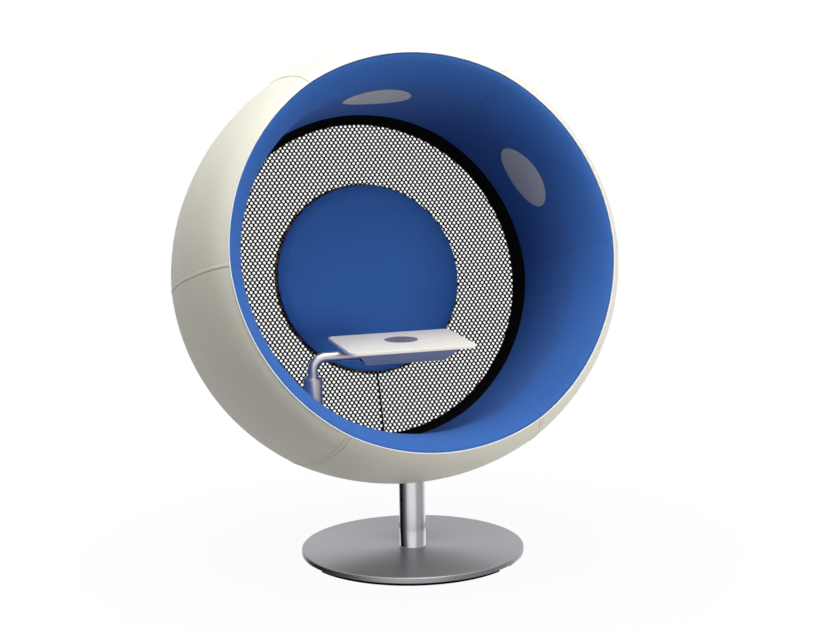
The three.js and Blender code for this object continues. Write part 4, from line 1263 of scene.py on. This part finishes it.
class PODCHAIR_OT_rings(bpy.types.Operator):
    """Makes the black ring in front of the net, the ring behind it and its screws"""
    bl_idname = "pod_chair.rings"
    bl_label = "Back Rings"

    def execute(self, context):
        s, b = pod_sizes(), back_sizes()
        rim = s.ring_radius + s.lining_thickness
        front, rear = s.ring_station - GAP, b.net + GAP
        ring = rounded([(rim, front), (s.ring_radius, front), (b.ring_inner, rear + b.ring_edge),
                        (b.ring_inner, rear), (rim, rear)], [0.001, 0.002, 0.0016, 0.001, 0.001])
        piece = turned_piece("net_front_ring", ring, pod_matrix(), 256)
        dress(piece, "black_ring", "pod", "back_ring")

        near = net_rear() - GAP
        far = near - b.clamp_thickness
        corner = 0.0022
        clamp = rounded([(b.ring_inner, near), (rim, near), (rim, far), (b.ring_inner, far)], corner)
        piece = turned_piece("net_rear_ring", clamp, pod_matrix(), 256)
        dress(piece, "black_ring", "pod", "net_clamp_ring")

        screw_inset = 0.008
        heads = starter("net_ring_screws")
        run_tree(heads, dome_tree(), {
            "Count": b.screws, "Circle Radius": (b.ring_inner + s.ring_radius) / 2 - screw_inset,
            "Head Radius": b.screw_radius, "Finish": finish_of("satin_steel"),
        })
        heads.data.transform(pod_matrix() @ Matrix.Translation((0, 0, far)))
        heads.data.shade_smooth()
        dress(heads, "satin_steel", "pod")
        return {"FINISHED"}


# How far the driver's terminal block stands out from its side
TERMINAL_REACH = 0.018


class PODCHAIR_OT_board(bpy.types.Operator):
    """Makes the board behind the round pad and the sound driver on it"""
    bl_idname = "pod_chair.board"
    bl_label = "Board and Driver"

    def execute(self, context):
        b = back_sizes()
        front = net_rear() - GAP
        rear = front - b.board_thickness
        edge = 0.0015
        board = [(0, rear), (b.board_radius - edge, rear), (b.board_radius, rear + edge),
                 (b.board_radius, front - edge), (b.board_radius - edge, front), (0, front)]
        piece = turned_piece("pad_board", board, pod_matrix(), 192, False)
        dress(piece, "plywood", "pod", "back_board")

        # The driver's flange, basket and magnet, from the board out; the radii are shares of the flange's
        top = rear - GAP
        r, h = b.driver_radius, b.driver_height
        flange, basket, bevel = 0.006, 0.018, 0.004
        shape = [(0, top), (r, top), (r, top - flange), (r - bevel, top - flange - bevel / 2),
                 (r * 0.82, top - basket / 2), (r * 0.76, top - basket), (r * 0.74, top - basket - 0.001),
                 (r * 0.74, top - h + bevel / 2), (r * 0.71, top - h), (0, top - h)]
        body = turned_piece("driver body", shape, pod_matrix(), 96, False)
        half_width, thickness = 0.015, 0.014
        terminal = bevelled_block("terminal", (-half_width, -r - TERMINAL_REACH, top - thickness),
                                  (half_width, -r * 0.7, top), pod_matrix(), edge)
        dress(joined("pad_sound_driver", body, terminal), "black_plastic", "pod", "pad_driver")
        return {"FINISHED"}


def smooth_run(points, steps=8):
    """A curve through points, without overshoot where they lie unevenly"""
    points = np.array(points, float)
    ends = np.concatenate([[2 * points[0] - points[1]], points, [2 * points[-1] - points[-2]]])

    def toward(spots, knots, t, span):
        """Each spot moved on to the next by how far t lies between their knots"""
        return [((end - t) * here + (t - start) * after) / (end - start)
                for start, end, here, after in zip(knots, knots[span:], spots, spots[1:])]

    result = []
    for i in range(1, len(ends) - 2):
        spots = ends[i - 1:i + 3]
        knots = np.concatenate([[0], np.cumsum(np.linalg.norm(np.diff(spots, axis=0), axis=1) ** 0.5)])
        for t in np.linspace(knots[1], knots[2], steps, endpoint=False):
            pair = toward(toward(spots, knots, t, 1), knots, t, 2)
            result.append(((knots[2] - t) * pair[0] + (t - knots[1]) * pair[1]) / (knots[2] - knots[1]))
    return np.array(result + [points[-1]])


class PODCHAIR_OT_lead(bpy.types.Operator):
    """Makes the thin black lead from the driver down to the ring"""
    bl_idname = "pod_chair.lead"
    bl_label = "Lead"

    def execute(self, context):
        b = back_sizes()
        on_net = net_rear() - GAP - b.lead_radius
        on_board = net_rear() - 2 * GAP - b.board_thickness - b.lead_radius
        below_board, step = 0.009, 0.040
        top = -b.driver_radius - TERMINAL_REACH - GAP
        over = -b.board_radius - below_board
        end = -b.ring_inner + GAP
        route = [(top, on_board), (top - step, on_board), (over + step, on_board), (over, on_board),
                 (over - step, on_net), (over - 2 * step, on_net), (end + step, on_net), (end, on_net)]
        path = moved(smooth_run([(0, y, z) for y, z in route]), pod_matrix())
        piece = swept_tube("pad_thin_lead", path, b.lead_radius, Matrix.Identity(4), sides=16)
        dress(piece, "black_plastic", "pod", "pad_lead")
        return {"FINISHED"}


class PODCHAIR_OT_grilles(bpy.types.Operator):
    """Makes the round grey speaker grilles, flush with the lining's wall"""
    bl_idname = "pod_chair.grilles"
    bl_label = "Speaker Grilles"

    def execute(self, context):
        s, b = pod_sizes(), back_sizes()
        rounds, face_rings = 128, 22
        centre, edge, behind_wall = 0.0001, 0.0012, 0.0006
        size = b.grille_radius
        bend = np.linspace(0, math.pi / 2, 5)[1:]
        rings = np.concatenate([np.linspace(centre, size - edge, face_rings),
                                size - edge + edge * np.sin(bend), [size, centre]])
        sunk = np.concatenate([np.zeros(face_rings), edge * (1 - np.cos(bend)), [b.grille_thickness] * 2])
        turns = circle(rounds)
        for side, degrees in SPEAKERS.items():
            across = rings[None, :] * np.cos(turns)[:, None]
            along = rings[None, :] * np.sin(turns)[:, None]
            stations = b.grille_station + along
            middle = math.radians(degrees)
            out = np.full(across.shape, s.lip_radius)
            for _ in range(6):
                angles = middle + np.arctan2(across, out)
                wall = wall_radius(s, stations) - panel_pull(angles)
                out = np.sqrt(np.maximum(wall ** 2 - across ** 2, 0))
            out = out + sunk[None, :] + behind_wall
            x = out * math.cos(middle) - across * math.sin(middle)
            y = out * math.sin(middle) + across * math.cos(middle)
            points = np.stack([x, y, stations], -1).reshape(-1, 3)
            spots = np.stack([across, along], -1).reshape(-1, 2)
            columns = len(rings)
            faces = loft_faces(rounds, columns, round_rows=True, round_columns=False)
            for column in (0, columns - 1):
                faces.append(tuple(row * columns + column for row in range(rounds)))
            piece = piece_of(f"grille_{side}", moved(points, pod_matrix()), faces, spots, 50)
            dress(piece, "grille_cloth", "pod", f"speaker_grille_{side}")
        return {"FINISHED"}


def stitch_tree():
    """Stitches along seam lines"""
    tree, wires, given = repeat_tree(
        "Seam stitches", ("Pitch", FLOAT), ("Stitch Length", FLOAT), ("Thread Radius", FLOAT))
    lines = wires.add("GeometryNodeMeshToCurve", {"Mesh": given["Geometry"]}).outputs[0]
    spaced = wires.add("GeometryNodeResampleCurve", {
        "Curve": lines, "Length": given["Pitch"]}, mode="LENGTH").outputs[0]
    bead = wires.add("GeometryNodeMeshUVSphere", {
        "Segments": 6, "Rings": 4, "Radius": given["Thread Radius"]}).outputs[0]
    half_stitch = wires.math("MULTIPLY", given["Stitch Length"], 0.5)
    longer = wires.math("DIVIDE", half_stitch, given["Thread Radius"])
    scale = wires.add("ShaderNodeCombineXYZ", {"X": 1.0, "Y": 1.0, "Z": longer}).outputs[0]
    stitch = wires.add("GeometryNodeTransform", {"Geometry": bead, "Scale": scale}).outputs[0]
    ahead = wires.add("GeometryNodeInputTangent").outputs[0]
    aim = wires.add("FunctionNodeAlignRotationToVector", {"Vector": ahead}, axis="Z").outputs[0]
    stitches = wires.add("GeometryNodeInstanceOnPoints", {
        "Points": spaced, "Instance": stitch, "Rotation": aim,
    }).outputs[0]
    close_tree(wires, stitches, given["Finish"])
    return tree


class PODCHAIR_OT_stitches(bpy.types.Operator):
    """Sews the rows of stitches beside the cover's lapped seams"""
    bl_idname = "pod_chair.stitches"
    bl_label = "Seam Stitches"

    def execute(self, context):
        s = pod_sizes()
        outline, shown = cover_outline(s)
        line = outline[2:shown - 3]
        normals = outline_normals(outline)[2:shown - 3]
        lift, beyond_lap = 0.0004, 0.0004
        points, edges = [], []
        for index in range(PANELS):
            angle = SEAMS[index + 1] - (s.lap_width + beyond_lap) / line[:, 0]
            radii = line[:, 0] + normals[:, 0] * lift - panel_pull(angle)
            levels = line[:, 1] + normals[:, 1] * lift
            first = len(points)
            points.extend(around(radii, angle, levels).tolist())
            edges.extend((first + i, first + i + 1) for i in range(len(line) - 1))
        piece = starter("cover_stitches", points, edges)
        run_tree(piece, stitch_tree(), {
            "Pitch": s.stitch_pitch, "Stitch Length": s.stitch_length, "Thread Radius": s.thread / 2,
            "Finish": finish_of("thread"),
        })
        piece.data.transform(pod_matrix())
        piece.data.shade_smooth()
        dress(piece, "thread", "pod", slot="cover_leather")
        return {"FINISHED"}


# Steel pieces


class PODCHAIR_OT_base(bpy.types.Operator):
    """Makes the round steel plate and the rubber feet beneath its edge"""
    bl_idname = "pod_chair.base"
    bl_label = "Base"

    def execute(self, context):
        t = steel_sizes()
        low, high, edge, radius = t.plate_low, t.plate_top, t.plate_edge, t.plate_radius
        bolt_radius, head_radius, head_depth, lower_edge = 0.0083, 0.0153, 0.0053, 0.001
        seat = low + head_depth
        plate = rounded([
            (bolt_radius, high), (bolt_radius, seat), (head_radius, seat), (head_radius, low),
            (radius - lower_edge, low), (radius, low + lower_edge), (radius, high - edge),
            (radius - edge, high),
        ], [0, 0, 0, 0, 0.0005, 0.0005, 0.0006, 0.0006], 3)
        piece = turned_piece("round_base_plate", plate, swivel_matrix(), 320, sharp=30)
        dress(piece, "plate_steel", "base", "base_plate")
        piece.visible_glossy = False

        # Each foot gets a little thinner just before its ends
        corner, end_run, end_depth, end_share = 0.0008, 0.003, 0.0016, 0.6
        outside, inside = t.foot_outer, t.foot_outer - t.foot_width
        section = rounded([(inside, 0), (outside, 0), (outside, low - GAP), (inside, low - GAP)], corner, 4)
        centre = section.mean(0)
        ends = np.array([0, 0.0006, 0.0015, end_run]) / outside
        middle_run = np.linspace(ends[-1], t.foot_sweep - ends[-1], 61)[1:-1]
        span = np.concatenate([ends, middle_run, t.foot_sweep - ends[::-1]])
        nearest = np.minimum(span, t.foot_sweep - span) * outside
        shrink = end_depth * (1 - step_up(nearest, 0, end_run))
        share = 1 - shrink[:, None, None] / centre[1] * end_share
        grid = centre + (section[None] - centre) * share
        grid[..., 1] -= grid[..., 1].min()
        for index in range(3):
            middle = t.foot_facing + index * 2 * math.pi / 3
            angles = middle - t.foot_sweep / 2 + span
            points = around(grid[..., 0], angles[:, None], grid[..., 1]).reshape(-1, 3)
            foot = piece_of(f"rubber_foot_{index + 1}", moved(points, swivel_matrix()),
                            loft_faces(len(angles), len(section)))
            dress(foot, "rubber", "base", f"base_foot_{index + 1}")
        return {"FINISHED"}


class PODCHAIR_OT_column(bpy.types.Operator):
    """Makes the steel column, cut off on a slope inside the pod"""
    bl_idname = "pod_chair.column"
    bl_label = "Column"

    def execute(self, context):
        s, t = pod_sizes(), steel_sizes()
        low_box, high_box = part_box("column_tube")
        foot = low_box[2]
        outer, inner = t.column_radius, t.column_radius - t.column_wall
        bevel, segments, sloped = 0.0009, 128, 1
        section = np.array([
            (outer - bevel, foot), (outer - bevel / 3, foot + bevel * 0.3), (outer, foot + bevel),
            (outer, 0.1), (outer, 0.2), (outer, 0.3), (outer, sloped), (inner, sloped), (inner, foot),
        ])
        radii = np.broadcast_to(section[:, 0], (segments, len(section)))
        points = around(radii, circle(segments)[:, None], section[:, 1])
        slope = high_box[2] - outer * math.tan(s.tilt) - points[..., 1] * math.tan(s.tilt)
        points[..., 2] = np.where(section[:, 1] == sloped, slope, points[..., 2])
        faces = loft_faces(segments, len(section), round_rows=True)
        piece = piece_of("steel_column", moved(points.reshape(-1, 3), swivel_matrix()), faces)
        dress(piece, "satin_steel", "pod", "column_tube")
        return {"FINISHED"}


class PODCHAIR_OT_arm(bpy.types.Operator):
    """Makes the sleeve, its bright collar and the bent tube that carries the table"""
    bl_idname = "pod_chair.arm"
    bl_label = "Arm"

    def execute(self, context):
        s, t = pod_sizes(), steel_sizes()
        axis_height = POST[2]
        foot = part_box("arm_tube")[0][2]
        bend = t.arm_bend
        turns = np.linspace(0, math.pi / 2, 29)[1:-1]
        upright = [(0, 0, z) for z in np.linspace(foot, axis_height - bend, 8)]
        curve = [(bend * (1 - math.cos(a)), 0, axis_height - bend + bend * math.sin(a)) for a in turns]
        level = [(x, 0, axis_height) for x in np.linspace(bend, t.arm_reach, 10)]
        tube = swept_tube("bent_arm_tube", upright + curve + level, t.arm_radius, arm_matrix(),
                          inner=t.arm_radius - t.arm_wall, sides=48)
        dress(tube, "arm_steel", "table_arm", "arm_tube", slot="satin_steel")

        low, top = [corner[2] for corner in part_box("sleeve_collar")]
        seat = top - 0.004
        bore = t.arm_radius + RUNNING_FIT
        outside, inside = t.sleeve_radius, t.sleeve_radius - t.sleeve_wall
        plug = inside - GAP
        collar = rounded([
            (bore, low), (plug, low), (plug, seat), (outside, seat), (outside, top), (bore, top),
        ], [0, 0, 0, 0.0006, 0.0014, 0.001], 4)
        piece = turned_piece("bright_sleeve_collar", collar, post_matrix(), 96)
        dress(piece, "arm_steel", "pod", "sleeve_collar", slot="satin_steel")

        # The sleeve ends in a plate that is square to the rib beside it
        face = s.lip_radius + s.lining_thickness + 0.011
        thickness, half_run, first_side, second_side = 0.008, 0.06, -0.0983, -0.0063
        rib_angle = math.radians(-120)
        place = pod_matrix() @ Matrix.Rotation(rib_angle, 4, "Z")
        above_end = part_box("arm_sleeve")[0][2] + 0.05
        middle = (place.inverted() @ Vector((POST[0], POST[1], above_end))).z
        plate = bevelled_block("sleeve foot", (face, first_side, middle - half_run),
                               (face + thickness, second_side, middle + half_run), place, 0.0008)
        below, above, corner = 0.40, seat - GAP, 0.0004
        wall = rounded([(inside, below), (outside, below), (outside, above), (inside, above)], corner, 3)
        sleeve = turned_piece("sleeve tube", wall, post_matrix(), 96)
        reach = 0.6
        cut_out(sleeve, bevelled_block("beyond foot", (face + thickness / 2, -reach, -reach),
                                       (face + reach, reach, reach), place, 0.0001))
        whole = joined("arm_sleeve_tube", sleeve, plate)
        smoothed(whole.data)
        dress(whole, "arm_steel", "pod", "arm_sleeve", slot="satin_steel")
        return {"FINISHED"}


def rounded_rectangle(half_length, half_depth, radius, steps=14):
    """The outline of a rectangle about the middle, with round corners"""
    arcs = []
    for x, y, start in ((1, -1, -90), (1, 1, 0), (-1, 1, 90), (-1, -1, 180)):
        turns = np.radians(np.linspace(start, start + 90, steps + 1))
        arcs.append(np.stack([x * (half_length - radius) + radius * np.cos(turns),
                              y * (half_depth - radius) + radius * np.sin(turns)], -1))
    return np.concatenate(arcs)


class PODCHAIR_OT_table(bpy.types.Operator):
    """Makes the off-white table with its metal disc and the folded housing beneath"""
    bl_idname = "pod_chair.table"
    bl_label = "Table"

    def execute(self, context):
        t = steel_sizes()
        half_length, half_depth = t.table_length / 2, t.table_depth / 2
        under = t.table_top - t.table_thickness
        turns = np.linspace(0, math.pi / 2, 6)
        insets, drops = t.table_edge * (1 - np.cos(turns)), t.table_edge * (1 - np.sin(turns))
        insets = np.concatenate([insets[::-1], insets])
        levels = np.concatenate([under + drops[::-1], t.table_top - drops])
        loops = []
        for inset, level in zip(insets, levels):
            flat = rounded_rectangle(half_length - inset, half_depth - inset, t.table_corner - inset)
            loops.append(np.column_stack([flat, np.full(len(flat), level)]))
        grid = np.array(loops)
        faces = loft_faces(len(grid), grid.shape[1])
        top = piece_of("table_board", moved(grid.reshape(-1, 3), table_matrix()), faces, sharp=30)
        spot = table_matrix() @ Matrix.Translation((t.disc_right, t.disc_back, 0))
        recess, above = t.table_top - t.disc_thickness - GAP, t.table_top + 0.02
        cut_out(top, pillar("disc recess", t.disc_radius + GAP, recess, above, spot, 128), sharp=30)
        dress(top, "table_cream", "table", "table_top")

        r, low, high, bevel = t.disc_radius, recess + GAP, t.table_top, 0.0005
        disc = [(0, low), (r, low), (r, high - bevel), (r - bevel, high), (0, high)]
        piece = turned_piece("table_metal_disc", disc, spot, 128, False, sharp=30)
        dress(piece, "table_metal", "table", "table_disc")

        high = under - GAP
        low = high - t.housing_depth
        wide = half_depth - t.housing_inset
        narrow = wide - t.housing_setback
        slant = math.hypot(t.housing_setback, t.housing_depth)
        sheet = t.housing_sheet
        across = sheet * slant / t.housing_depth
        lean = t.housing_setback * sheet / t.housing_depth
        low_in, high_in = low + sheet, high - sheet
        narrow_in, wide_in = narrow - across + lean, wide - across - lean
        flange = wide - t.housing_flange
        channel = rounded([
            (-wide, high), (-narrow, low), (narrow, low), (wide, high), (flange, high), (flange, high_in),
            (wide_in, high_in), (narrow_in, low_in), (-narrow_in, low_in), (-wide_in, high_in),
            (-flange, high_in), (-flange, high),
        ], [0.0012, 0.003, 0.003, 0.0012, 0, 0, 0.001, 0.0015, 0.0015, 0.001, 0, 0], 5)
        left = -half_length + t.housing_left
        right = half_length - t.housing_right
        fall = (high - channel[:, 1]) * t.housing_end_slope / t.housing_depth
        stations = []
        for share in np.linspace(0, 1, 7):
            x = (left + fall) * (1 - share) + (right - fall) * share
            stations.append(np.column_stack([x, channel[:, 0], channel[:, 1]]))
        grid = np.array(stations)
        faces = loft_faces(len(grid), grid.shape[1])
        housing = piece_of("folded_housing", moved(grid.reshape(-1, 3), table_matrix()), faces, sharp=30)
        dress(housing, "housing", "table", "table_housing", slot="satin_steel")
        return {"FINISHED"}


class PODCHAIR_OT_inside(bpy.types.Operator):
    """Gives the pieces inside the chair their finishes"""
    bl_idname = "pod_chair.inside"
    bl_label = "Inner Pieces"

    def execute(self, context):
        slots = {part["node"]: part["material_slot"] for part in frame["record"]["subparts"]}
        for name, node in frame["nodes"].items():
            node.data.materials.clear()
            node.data.materials.append(finish_of(slots[name]))
        return {"FINISHED"}


# Camera, lights and floor


def plainly_seen(wires):
    """1 for what the camera sees, straight or in metal and glass, and 0 for the rest of the light"""
    path = wires.add("ShaderNodeLightPath").outputs
    mirrored = wires.math("MAXIMUM", path["Is Glossy Ray"], path["Is Transmission Ray"])
    return wires.math("MAXIMUM", path["Is Camera Ray"], mirrored)


def shown_white(wires, shader, share):
    """A share of plain white over a surface, but not in the light that it throws on other things"""
    white = wires.add("ShaderNodeEmission", {"Color": (1, 1, 1, 1), "Strength": 1.0}).outputs[0]
    return wires.add("ShaderNodeMixShader", {
        0: wires.math("MULTIPLY", plainly_seen(wires), share), 1: shader, 2: white,
    }).outputs[0]


# Where the dark cloths hang, in degrees round the studio, and how bright the walls are there
WALL_TONES = ((0.5, 0.42), (8, 0.5), (16, 1.0), (104, 1.0), (113, 0.0), (152, 0.0), (160, 0.05), (190, 0.14),
              (208, 0.7), (232, 1.0), (278, 0.95), (287, 0.5), (300, 0.44), (359.5, 0.42))


def studio_walls(wires):
    """White to the camera; metal also shows the dark cloths that hang at the sides of the studio"""
    toward = wires.add("ShaderNodeTexCoord").outputs["Generated"]
    split = wires.add("ShaderNodeSeparateXYZ", {"Vector": toward})
    heading = wires.math("ARCTAN2", split.outputs["Y"], split.outputs["X"])
    share = wires.math("FRACT", wires.math("DIVIDE", heading, 2 * math.pi))
    ramp = wires.add("ShaderNodeValToRGB", {"Fac": share})
    stops = ramp.color_ramp.elements
    blue_cast = 1.01
    for degrees, tone in WALL_TONES:
        stop = stops.new(degrees / 360)
        stop.color = (tone, tone, tone * blue_cast, 1)
    stops.remove(stops[len(stops) - 1])
    stops.remove(stops[0])
    high = between(wires, split.outputs["Z"], 0.0, 1.0, 0.1, 0.5)
    white = (1, 1, 1, 1)
    upper = blended(wires, high, ramp.outputs["Color"], white)
    return blended(wires, wires.add("ShaderNodeLightPath").outputs["Is Glossy Ray"], white, upper)


# How the photo's camera stands to the swivel's axis, in degrees and metres, its focal length and the
# photo's width in pixels, and the sensor's width in millimetres
AZIMUTH, RISE, ROLL = 19.6859, 9.9425, -0.8222
DISTANCE, AIM_SIDE, AIM_HEIGHT = 6.7683, 0.0364, 0.8361
FOCAL_PIXELS, PHOTO_PIXELS, SENSOR = 2000, 840, 36


def set_camera(scene):
    """Puts the camera where the photo was taken from"""
    camera = bpy.data.cameras.new("camera")
    camera.sensor_fit = "HORIZONTAL"
    camera.sensor_width = SENSOR
    camera.lens = FOCAL_PIXELS * SENSOR / PHOTO_PIXELS
    camera.clip_end = 60
    azimuth, rise, roll = math.radians(AZIMUTH), math.radians(RISE), math.radians(ROLL)
    back = Vector((-math.sin(azimuth) * math.cos(rise), -math.cos(azimuth) * math.cos(rise), math.sin(rise)))
    side = Vector((math.cos(azimuth), -math.sin(azimuth), 0))
    up = back.cross(side)
    target = side * AIM_SIDE + Vector((0, 0, AIM_HEIGHT))
    place = target + back * DISTANCE + Vector((SWIVEL[0], SWIVEL[1], 0))
    turned_side = side * math.cos(roll) + up * math.sin(roll)
    turned_up = up * math.cos(roll) - side * math.sin(roll)
    facing = Matrix((turned_side, turned_up, back)).transposed().to_4x4()
    eye = linked("camera", camera)
    eye.matrix_world = Matrix.Translation(place) @ facing
    scene.camera = eye


# The lamps: their strength's name, their place and their size; all are aimed at the middle of the chair
LAMPS = (
    ("top", (-0.3, -0.6, 4.6), (3.6, 3.2)),
    ("high_front", (0.2, -2.6, 4.3), (2.8, 2.0)),
    ("front", (2.6, -4.2, 0.8), (1.6, 1.2)),
    ("right", (4.6, -2.4, 1.2), (1.6, 1.6)),
    ("left", (-4.2, -2.0, 2.4), (1.8, 2.4)),
    ("low_left", (-4.4, -1.2, 0.8), (1.6, 1.2)),
    ("upper_left", (-2.6, -0.4, 4.2), (2.0, 2.4)),
)
LAMP_AIM = Vector((0, 0, 0.9))


def hang_lamps(scene):
    """Hangs the soft lights; only the top one shows in reflections"""
    for strength, place, size in LAMPS:
        name = strength.replace("_", " ") + " softbox"
        light = bpy.data.lights.new(name, "AREA")
        light.shape = "RECTANGLE"
        light.size, light.size_y = size
        light.energy = getattr(scene.pod_chair_lights, strength)
        holder = linked(name, light)
        holder.location = place
        holder.rotation_euler = (LAMP_AIM - Vector(place)).to_track_quat("-Z", "Y").to_euler()
        holder.visible_glossy = strength == "top"


def light_all_round(scene):
    """A dim even light from all sides, and studio walls for what the camera and the steel see"""
    world = bpy.data.worlds.new("studio")
    world.use_nodes = True
    scene.world = world
    wires = Wiring(world.node_tree)
    sky = scene.pod_chair_lights.sky
    dim = wires.add("ShaderNodeBackground", {"Color": (1, 1, 1, 1), "Strength": sky}).outputs[0]
    walls = wires.add("ShaderNodeBackground", {"Color": studio_walls(wires), "Strength": 1.0}).outputs[0]
    mixed = wires.add("ShaderNodeMixShader", {0: plainly_seen(wires), 1: dim, 2: walls}).outputs[0]
    wires.add("ShaderNodeOutputWorld", {"Surface": mixed})


def lay_floor():
    """A wide matt floor that turns into plain white away from the base"""
    mesh = bpy.data.meshes.new("floor")
    far = 14.0
    mesh.from_pydata([(-far, -far, 0), (far, -far, 0), (far, far, 0), (-far, far, 0)], [], [(0, 1, 2, 3)])
    floor = linked("floor", mesh)
    material, wires = new_material("floor")
    matt = wires.add("ShaderNodeBsdfPrincipled", {
        "Base Color": (*colours().floor, 1), "Roughness": 0.7, "Specular IOR Level": 0.2,
    }).outputs[0]
    from_base = wires.add("ShaderNodeVectorMath", {0: place_of(wires), 1: (SWIVEL[0], SWIVEL[1], 0)},
                          operation="DISTANCE").outputs["Value"]
    near, near_share, away, away_share = 0.45, 0.955, 1.3, 1.0
    white_share = between(wires, from_base, near_share, away_share, near, away)
    wires.add("ShaderNodeOutputMaterial", {"Surface": shown_white(wires, matt, white_share)})
    mesh.materials.append(material)
    floor.visible_glossy = False
    return floor


class PODCHAIR_OT_stage(bpy.types.Operator):
    """Sets up the camera, the soft lights, the floor and the backdrop"""
    bl_idname = "pod_chair.stage"
    bl_label = "Stage"

    def execute(self, context):
        scene = context.scene
        set_camera(scene)
        hang_lamps(scene)
        light_all_round(scene)
        lay_floor()
        scene.view_settings.view_transform = "Standard"
        return {"FINISHED"}


STEPS = (
    PODCHAIR_OT_stage, PODCHAIR_OT_lead, PODCHAIR_OT_cover, PODCHAIR_OT_lining, PODCHAIR_OT_rear_cover,
    PODCHAIR_OT_piping, PODCHAIR_OT_back_pad, PODCHAIR_OT_net, PODCHAIR_OT_rings, PODCHAIR_OT_board,
    PODCHAIR_OT_grilles, PODCHAIR_OT_stitches, PODCHAIR_OT_base, PODCHAIR_OT_column, PODCHAIR_OT_arm,
    PODCHAIR_OT_table, PODCHAIR_OT_inside,
)
GROUPS = {
    "pod_chair_pod": PodChairPodSizes, "pod_chair_back": PodChairBackSizes,
    "pod_chair_steel": PodChairSteelSizes, "pod_chair_colours": PodChairColours,
    "pod_chair_lights": PodChairLights,
}


class PODCHAIR_PT_pieces(bpy.types.Panel):
    """Lists the chair's pieces and sizes"""
    bl_idname = "PODCHAIR_PT_pieces"
    bl_label = "Pod Chair"
    bl_space_type = "VIEW_3D"
    bl_region_type = "UI"
    bl_category = "Pod Chair"

    def draw(self, context):
        for step in STEPS:
            self.layout.operator(step.bl_idname)
        for key in GROUPS:
            group = getattr(context.scene, key)
            column = self.layout.column(align=True)
            for name in group.__annotations__:
                column.prop(group, name)


def register():
    for kind in (*GROUPS.values(), *STEPS, PODCHAIR_PT_pieces):
        bpy.utils.register_class(kind)
    for key, kind in GROUPS.items():
        setattr(bpy.types.Scene, key, PointerProperty(type=kind))


def unregister():
    for key in reversed(GROUPS):
        delattr(bpy.types.Scene, key)
    for kind in reversed((*GROUPS.values(), *STEPS, PODCHAIR_PT_pieces)):
        bpy.utils.unregister_class(kind)


def main():
    register()
    for step in STEPS:
        group, name = step.bl_idname.split(".")
        getattr(getattr(bpy.ops, group), name)()


if __name__ == "__main__":
    main()
